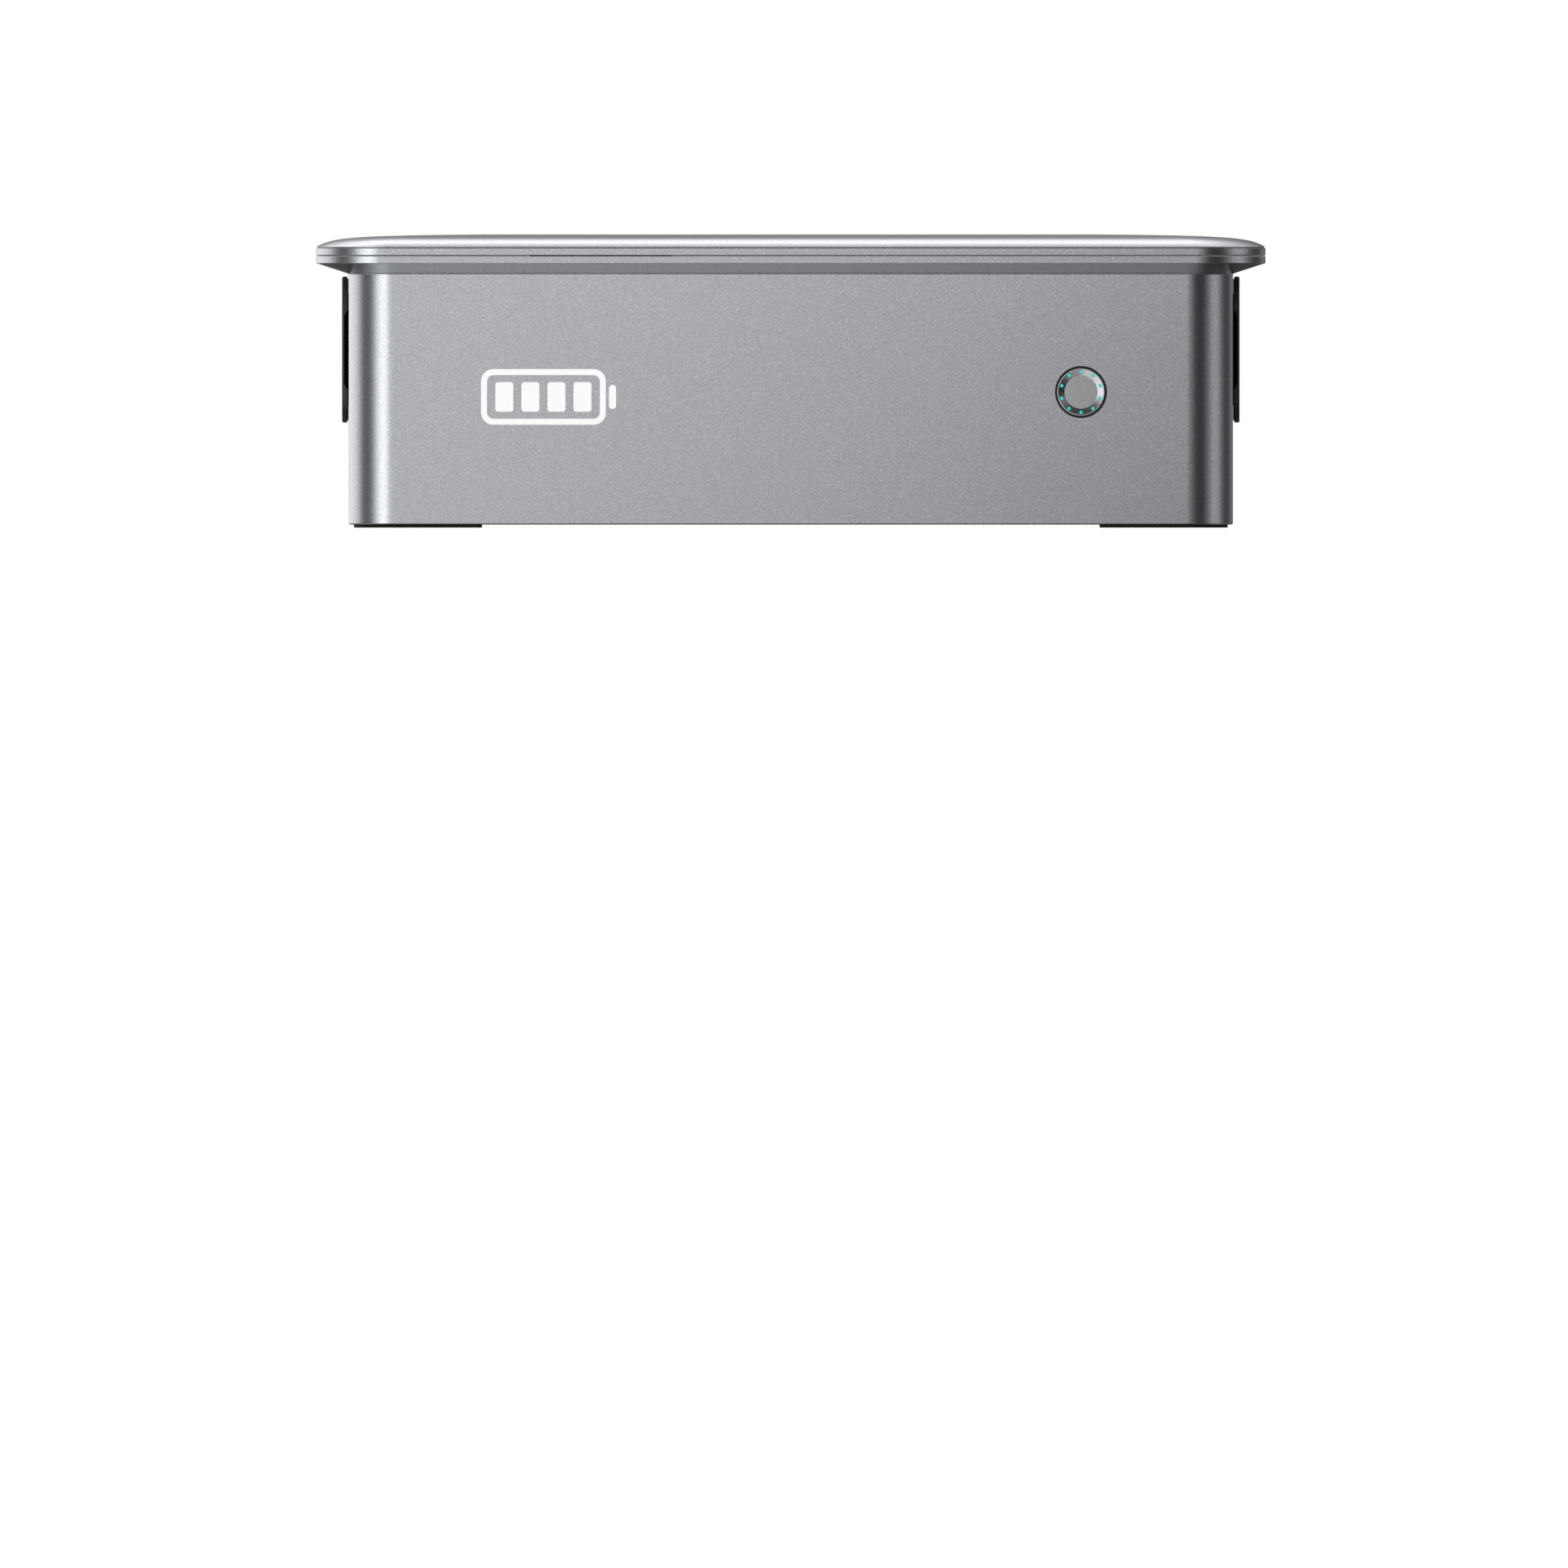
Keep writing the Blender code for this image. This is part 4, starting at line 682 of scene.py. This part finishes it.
# ---- Power button ------------------------------------------------------------------------------------
def make_button():
    """The dished cap, its hammered middle, the light pipes and the ring round it."""
    at = (BUTTON_X, BUTTON_Z)
    dish_outer, dish_inner, dish_depth = 0.00835, 0.0061, 0.00084
    plate_back, skirt_inner, skirt_foot, stem_radius, stem_foot = -0.0024, 0.00825, -0.005, 0.0022, -0.0033
    profile = softened(
        [
            (dish_inner - 0.0002, -dish_depth, 0.0),
            (dish_inner, -dish_depth, 0.00015),
            (dish_outer, 0.0, 0.00012),
            (CAP_RADIUS, 0.0, 0.00018),
            (CAP_RADIUS, skirt_foot, 0.0),
            (skirt_inner, skirt_foot, 0.0),
            (skirt_inner, plate_back, 0.0),
            (stem_radius, plate_back, 0.0),
            (stem_radius, stem_foot, 0.0),
        ],
        5,
    )[:-1]
    profile = [(0.0, -dish_depth)] + profile + [(stem_radius, stem_foot), (0.0, stem_foot)]
    cap = turned("button_face", profile, FRONT, at, 96)
    light_count, light_circle, light_radius = 10, 0.00748, 0.00062
    places = []
    for i in range(light_count):
        angle = math.radians(90 + 360 * i / light_count)
        places.append((at[0] + light_circle * math.cos(angle), at[1] + light_circle * math.sin(angle)))
    bores = []
    for i, place in enumerate(places):
        bore = bore_profile(light_radius + 0.00003, 0.001, -0.0035)
        bores.append(turned(f"light_bore_{i}", bore, FRONT, place, 24))
    piece(carved(cap, *bores), BLASTED, "button", "button_metal", "button_cap")

    rise, sink, rim, flat = 0.00004, 0.00005, dish_inner - 0.00018, dish_inner - 0.00035
    disc = [(0.0, rise - dish_depth), (flat, rise - dish_depth), (rim, -dish_depth + rise / 2)]
    disc += [(rim, -dish_depth - sink), (0.0, -dish_depth - sink)]
    piece(turned("button_middle", disc, FRONT, at, 96), PITTED, "button", "button_metal")

    tip, foot = -0.00042, -0.0026
    pipes = [(x, y, foot) for x, y in places]
    lights = rods("light_pipes", light_radius, tip - foot, pipes, FRONT, 20)
    piece(lights, GLOW, "button", "light_guide", "button_light_guide")

    outer, inner, face, back, edge = 0.0095, 0.00898, 0.00012, -0.0042, 0.0001
    ring = [(outer, -edge), (outer - edge, face), (inner + edge, face)]
    ring += [(inner, 0.0), (inner, back), (outer, back)]
    surround = turned("button_surround", ring, FRONT, at, 96, ring=True)
    piece(surround, BLACK, "enclosure", "rubber", "button_ring")


# ---- Printed mark ------------------------------------------------------------------------------------
def make_front_mark():
    """A plain battery symbol: a rounded outline with its terminal and four charge bars."""
    centre, width, height, line = (-0.0912, 0.0482), 0.046, 0.0205, 0.0022
    low, high = 0.00002, 0.00007  # the film of ink over the wall
    outer_radius, inner_radius = 0.0045, 0.0024
    outside = rounded_rect(width, height, outer_radius, 12, centre)
    inside = rounded_rect(width - 2 * line, height - 2 * line, inner_radius, 12, centre)
    sections = [(outside, low), (outside, high), (inside, high), (inside, low)]
    marks = [loft("mark_outline", sections, FRONT, ring=True)]
    terminal = rounded_rect(0.0026, 0.0088, 0.0012, 8, (centre[0] + width / 2 + 0.0025, centre[1]))
    marks.append(loft("mark_terminal", [(terminal, low), (terminal, high)], FRONT))
    count, bar_width, bar_radius, bar_margin, pitch = 4, 0.0066, 0.0010, 0.0026, 0.0096
    bar_height = height - 2 * line - 2 * bar_margin
    for number, x in enumerate(spaced(count, pitch, centre[0]), 1):
        bar = rounded_rect(bar_width, bar_height, bar_radius, 8, (x, centre[1]))
        marks.append(loft(f"mark_bar_{number}", [(bar, low), (bar, high)], FRONT))
    for mark in marks:
        piece(mark, PRINT_PAINTED_GLOW, "enclosure", "shell_metal")


# ---- Feet, deck and rear -----------------------------------------------------------------------------
def make_feet():
    """Rubber pads with a soft edge and shallow ribs underneath."""
    count, tread_width, tread_depth, pitch, margin = 5, 0.0012, 0.0008, 0.0042, 0.008
    soft_edge = ((0.0003, 0.0), (0.0001, 0.00006), (0.0, 0.00025), (0.0, FOOT_HIGH.z))
    for corner in FOOT_CORNERS:
        low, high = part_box(f"foot_{corner}")
        foot = loft(f"pad_{corner}", [(foot_outline(corner, inset), z) for inset, z in soft_edge])
        size = (high.x - low.x - 2 * margin, tread_width, tread_depth)
        middle_x, middle_y = (low.x + high.x) / 2, (low.y + high.y) / 2
        treads = [(size, (middle_x, y, 0.0)) for y in spaced(count, pitch, middle_y)]
        carved(foot, blocks(f"treads_{corner}", treads))
        piece(foot, RUBBER, "enclosure", "rubber", f"foot_{corner}")


def make_deck_screws():
    """Countersunk screws with a six-sided recess."""
    head, face, shank, head_depth, edge = 0.0028, 0.0026, 0.0015, 0.0014, 0.00012
    recess_radius, recess_depth, recess_tip = 0.00125, 0.0011, 0.0013
    for number in range(1, 7):
        node = f"deck_screw_{number}"
        low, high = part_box(node)
        at = ((low.x + high.x) / 2, (low.y + high.y) / 2)
        top = high.z
        profile = [(0.0, top), (face, top), (head, top - edge), (shank, top - head_depth)]
        profile += [(shank, low.z), (0.0, low.z)]
        screw = turned(f"screw_head_{number}", profile, None, at, 32)
        hexagon = [(0.0, top + 0.001), (recess_radius, top + 0.001)]
        hexagon += [(recess_radius, top - recess_depth), (0.0, top - recess_tip)]
        recess = turned(f"recess_{number}", hexagon, None, at, 6)
        piece(carved(screw, recess), STEEL, "enclosure", "steel", node)


def make_stack_contacts():
    """Gilt blades on the contact block and in the well under the floor."""
    count, pitch = 8, 0.0058
    well_z = SOCKET_LOW.z + 0.0056
    for name, size, z, bevel in (
        ("stack_pads", (0.0030, 0.0058, 0.0004), PLUG_HIGH.z - 0.0001, 0.0001),
        ("stack_springs", (0.0024, 0.0050, 0.0016), well_z - 0.0008, 0.0004),
    ):
        contacts = [(size, (x, STACK_Y, z)) for x in spaced(count, pitch, STACK_X)]
        piece(blocks(name, contacts, bevel=bevel), BRASS, "enclosure", "copper")


def make_rear_fittings():
    """The breather cap with its grip notches, and the earth screw with a six-sided head."""
    at = place_on_rear("vent_plug")
    stem, cap, cap_top, dimple, dimple_top, off_wall = 0.0056, 0.0080, 0.0034, 0.0026, 0.0029, 0.0003
    outside = [(stem, off_wall, 0.0), (cap, off_wall, 0.0003), (cap, cap_top, 0.0009)]
    outside += [(dimple + 0.0004, cap_top, 0.0), (dimple, dimple_top, 0.0)]
    profile = [(0.0, dimple_top)] + softened(outside, 5)[::-1] + [(stem, CUT_IN), (0.0, CUT_IN)]
    vent = turned("vent_cap", profile, REAR, at, 72)
    notch = bore_profile(0.0011, 0.005, 0.0006)
    places = circle(cap + 0.0006, 12, at)
    notches = [turned(f"notch_{i}", notch, REAR, place, 20) for i, place in enumerate(places)]
    piece(carved(vent, *notches), BLACK, "enclosure", "black_plastic", "vent_plug")

    at = place_on_rear("earth_screw")
    washer, washer_top, shank, shank_end, edge = 0.0060, 0.0014, 0.0024, -0.008, 0.0003
    profile = [(0.0, washer_top), (washer - edge, washer_top), (washer, washer_top - edge)]
    profile += [(washer, off_wall), (shank, off_wall), (shank, shank_end), (0.0, shank_end)]
    screw = turned("earth_washer", profile, REAR, at, 48)
    head, head_top, head_foot = 0.0042, 0.0042, 0.0012
    hexagon = [(0.0, head_top), (head - 0.0005, head_top), (head, head_top - 0.0004), (head, head_foot)]
    hexagon += [(0.0, head_foot)]
    cap_of_screw = turned("earth_head", hexagon, REAR, at, 6)
    piece(carved(screw, cap_of_screw, operation="UNION"), STEEL, "enclosure", "steel", "earth_screw")


# ---- Studio ------------------------------------------------------------------------------------------
# How bright the studio is in each direction. The keys are degrees round from straight in front,
# and right is positive. These are the levels near the horizon.
ROUND_LEVELS = {
    -180: 0.05, -168: 0.55, -155: 1.33, -131: 1.42, -113: 1.22, -97: 0.66, -84: 0.17, -71: 0.12, -60: 0.29,
    -49: 1.05, -39: 1.88, -29: 2.30, -19: 2.15, -10: 1.50, 0: 0.80, 10: 0.36, 19: 0.04, 29: 0.0, 39: 0.0,
    49: 0.10, 60: 0.33, 71: 0.63, 84: 0.56, 97: 0.20, 113: 0.06, 133: 0.11, 145: 0.26, 155: 0.23, 168: 0.08,
    180: 0.05,
}
# The same from about 8 degrees below the horizon, and from about 25 degrees below it.
BELOW_LEVELS = {
    -180: 0.08, -168: 0.08, -150: 0.50, -120: 0.45, -84: 0.35, -60: 0.50, -30: 1.50, 0: 0.90, 20: 0.15,
    40: 0.05, 60: 0.26, 90: 0.30, 118: 0.15, 129: 0.20, 148: 0.42, 164: 0.10, 180: 0.05,
}
UNDER_LEVELS = {
    -180: 0.06, -165: 0.10, -148: 0.25, -129: 0.08, -100: 0.33, -71: 0.80, -30: 1.30, 0: 1.0, 30: 0.32,
    71: 0.03, 110: 0.03, 129: 0.03, 150: 0.25, 164: 0.05, 180: 0.04,
}
# And over the top, in degrees up from straight behind.
OVER_LEVELS = {
    0: 0.02, 6: 0.02, 14: 0.19, 24: 1.42, 36: 2.08, 47: 1.88, 60: 0.85, 75: 0.7, 90: 0.7, 112: 0.4,
    130: 0.06, 145: 0.09, 165: 0.5, 180: 0.7,
}
# The share of it that is left on either side, in degrees round the bisector of the direction and the front.
OVER_SHARES = {
    -90: 0.7, -50: 0.72, -43: 0.76, -24: 0.97, -12: 1.05, 0: 1.0, 12: 0.84, 24: 0.60, 35: 0.46, 50: 0.33,
    90: 0.3,
}
SIDE_LEVEL = 0.75  # what the upper part of the studio falls to at the sides
DEEP_LEVEL = 0.04  # straight down
FLOOR_TONE = 0.735  # what the camera sees where it looks down past the floor
HIGHEST_LEVEL = 4.0  # the top of the curves that hold the levels

# The heights, from -1 straight down to 1 straight up, between which one level gives way to the next.
DEEP_TO_UNDER = (-0.86, -0.76)
UNDER_TO_BELOW = (-0.46, -0.38)
BELOW_TO_ROUND = (-0.26, -0.14)
ROUND_TO_OVER = (0.08, 0.34)
FLOOR_TO_WHITE = (-0.12, -0.04)
OVER_TO_SIDE = (0.48, 0.80)  # between these shares of sideways, the top gives way to the sides


def make_world():
    """White to a level camera, and for the light a soft studio whose brightness depends on the direction."""
    world = bpy.data.worlds.new("studio")
    bpy.context.scene.world = world
    world.use_nodes = True
    tree = world.node_tree
    nodes, links = tree.nodes, tree.links
    nodes.clear()

    def calculated(operation, first, second):
        node = nodes.new("ShaderNodeMath")
        node.operation = operation
        feed(node.inputs[0], first)
        feed(node.inputs[1], second)
        return node.outputs[0]

    def level(angle, levels):
        """The brightness that a table gives for an angle in radians."""
        low, high = min(levels), max(levels)
        share = nodes.new("ShaderNodeMapRange")
        share.inputs["From Min"].default_value = math.radians(low)
        share.inputs["From Max"].default_value = math.radians(high)
        links.new(angle, share.inputs["Value"])
        ramp = nodes.new("ShaderNodeFloatCurve")
        curve = ramp.mapping.curves[0]
        ramp.mapping.use_clip = False
        ramp.mapping.extend = "HORIZONTAL"
        while len(curve.points) < len(levels):
            curve.points.new(0.5, 0.5)
        for point, (degrees, value) in zip(curve.points, sorted(levels.items())):
            point.location = ((degrees - low) / (high - low), value / HIGHEST_LEVEL)
            point.handle_type = "AUTO_CLAMPED"
        ramp.mapping.update()
        links.new(share.outputs["Result"], ramp.inputs["Value"])
        return calculated("MULTIPLY", ramp.outputs["Value"], HIGHEST_LEVEL)

    def changing(value, span, first, second):
        """The first level up to the start of the span, and the second from its end on."""
        step = nodes.new("ShaderNodeMapRange")
        step.interpolation_type = "SMOOTHSTEP"
        step.inputs["From Min"].default_value, step.inputs["From Max"].default_value = span
        links.new(value, step.inputs["Value"])
        mix = nodes.new("ShaderNodeMix")
        links.new(step.outputs["Result"], mix.inputs["Factor"])
        feed(mix.inputs["A"], first)
        feed(mix.inputs["B"], second)
        return mix.outputs["Result"]

    direction = nodes.new("ShaderNodeSeparateXYZ")
    links.new(nodes.new("ShaderNodeTexCoord").outputs["Generated"], direction.inputs["Vector"])
    x, y, z = direction.outputs
    azimuth = calculated("ARCTAN2", x, calculated("MULTIPLY", y, -1.0))
    bisector = calculated("ARCTAN2", x, calculated("SUBTRACT", 1.0, y))
    around = changing(z, UNDER_TO_BELOW, level(azimuth, UNDER_LEVELS), level(azimuth, BELOW_LEVELS))
    around = changing(z, BELOW_TO_ROUND, around, level(azimuth, ROUND_LEVELS))
    around = changing(z, DEEP_TO_UNDER, DEEP_LEVEL, around)
    over = level(calculated("ARCTAN2", z, y), OVER_LEVELS)
    over = calculated("MULTIPLY", over, level(bisector, OVER_SHARES))
    over = changing(calculated("ABSOLUTE", x, 0.0), OVER_TO_SIDE, over, SIDE_LEVEL)

    studio, white = nodes.new("ShaderNodeBackground"), nodes.new("ShaderNodeBackground")
    links.new(changing(z, ROUND_TO_OVER, around, over), studio.inputs["Strength"])
    studio.inputs["Color"].default_value = (0.985, 0.99, 1.0, 1.0)
    white.inputs["Color"].default_value = (1.0, 1.0, 1.0, 1.0)
    links.new(changing(z, FLOOR_TO_WHITE, FLOOR_TONE, 1.0), white.inputs["Strength"])
    choose = nodes.new("ShaderNodeMixShader")
    links.new(nodes.new("ShaderNodeLightPath").outputs["Is Camera Ray"], choose.inputs["Fac"])
    links.new(studio.outputs[0], choose.inputs[1])
    links.new(white.outputs[0], choose.inputs[2])
    links.new(choose.outputs[0], nodes.new("ShaderNodeOutputWorld").inputs["Surface"])


def sheet(name, corners):
    """A flat face through the corners."""
    shape = bmesh.new()
    shape.faces.new([shape.verts.new(corner) for corner in corners])
    return finished(name, shape)


def make_floor():
    """The floor shows to the camera and takes the shadow, and the glossy shell doesn't mirror it.

    From below it can't be seen.
    """
    half, floor_z = 3.0, -0.0002
    corners = [(x * half, y * half, floor_z) for x, y in ((-1, -1), (1, -1), (1, 1), (-1, 1))]
    floor = sheet("floor", corners)
    ground = Finish("pale_floor", Roughness=0.6, Emission_Strength=0.25)
    ground.shader.inputs["Emission Color"].default_value = (1.0, 1.0, 1.0, 1.0)
    ground.colour(ground.tinted(ground.noise(3.0, 3.0), (0.80, 0.80, 0.80), (0.84, 0.84, 0.84)))
    backfacing = ground.add("ShaderNodeNewGeometry").outputs["Backfacing"]
    seen_through = ground.add("ShaderNodeMixShader", Fac=backfacing)
    ground.tree.links.new(ground.shader.outputs["BSDF"], seen_through.inputs[1])
    ground.tree.links.new(ground.add("ShaderNodeBsdfTransparent").outputs["BSDF"], seen_through.inputs[2])
    output = ground.tree.nodes["Material Output"]
    ground.tree.links.new(seen_through.outputs["Shader"], output.inputs["Surface"])
    floor.data.materials.append(ground.material)
    floor.visible_glossy = False
    floor.visible_shadow = False


def panel_glow(base, tilt, bend, rise, twist):
    """Light whose level changes along the panel and up it: base + tilt x + bend x x + (rise + twist x) z."""
    material = bpy.data.materials.new("panel_glow")
    material.use_nodes = True
    nodes, links = material.node_tree.nodes, material.node_tree.links
    nodes.clear()

    def scaled_sum(*values):
        """The first value times the second, plus the third."""
        node = nodes.new("ShaderNodeMath")
        node.operation = "MULTIPLY_ADD"
        for socket, value in zip(node.inputs, values):
            feed(socket, value)
        return node.outputs[0]

    place = nodes.new("ShaderNodeSeparateXYZ")
    links.new(nodes.new("ShaderNodeTexCoord").outputs["Object"], place.inputs["Vector"])
    x, _, z = place.outputs
    along = scaled_sum(x, scaled_sum(x, bend, tilt), base)
    glow = nodes.new("ShaderNodeEmission")
    links.new(scaled_sum(z, scaled_sum(x, twist, rise), along), glow.inputs["Strength"])
    links.new(glow.outputs[0], nodes.new("ShaderNodeOutputMaterial").inputs["Surface"])
    return material


def make_panels():
    """Soft boxes that only the glossy surfaces see.

    The front wall mirrors the first, the flare over it the second, and the rear wall the third.
    """
    for name, left, right, y, foot, top, levels in (
        ("front_panel", -0.42, 0.30, -1.0, -0.35, 0.30, (0.755, -1.45, -3.2, 1.4, 3.0)),
        ("low_panel", -0.42, 0.30, -1.0, -0.95, -0.40, (0.93, -1.75, -5.6, 0.0, 0.0)),
        ("rear_panel", -0.19, 0.19, 1.0, -0.95, 0.05, (0.75, 0.0, -6.0, 0.0, 0.0)),
    ):
        corners = [(left, y, foot), (right, y, foot), (right, y, top), (left, y, top)]
        panel = sheet(name, corners)
        panel.data.materials.append(panel_glow(*levels))
        panel.visible_camera = False
        panel.visible_diffuse = False
        panel.visible_shadow = False


CAMERA_PLACE = (-0.0025, -4.0, -0.0945)
FRAME_WIDTHS = 1.6516  # how many lids fit across the picture


def make_stage():
    """Pale floor, soft light, and a straight-on camera without perspective."""
    make_floor()
    make_panels()
    make_world()

    camera = bpy.data.cameras.new("camera")
    camera.type = "ORTHO"
    camera.ortho_scale = LID_WIDTH * FRAME_WIDTHS
    view = bpy.data.objects.new("camera", camera)
    view.location = CAMERA_PLACE
    view.rotation_euler = (math.pi / 2, 0.0, 0.0)
    bpy.context.scene.collection.objects.link(view)
    bpy.context.scene.camera = view
    bpy.context.scene.view_settings.view_transform = "Standard"


finish_cad_nodes()
make_tub_shell()
make_lid()
for side_name, side_matrix in SIDES.items():
    make_cover(side_name, side_matrix)
    make_contacts(side_name, side_matrix)
make_button()
make_front_mark()
make_feet()
make_deck_screws()
make_stack_contacts()
make_rear_fittings()
make_stage()
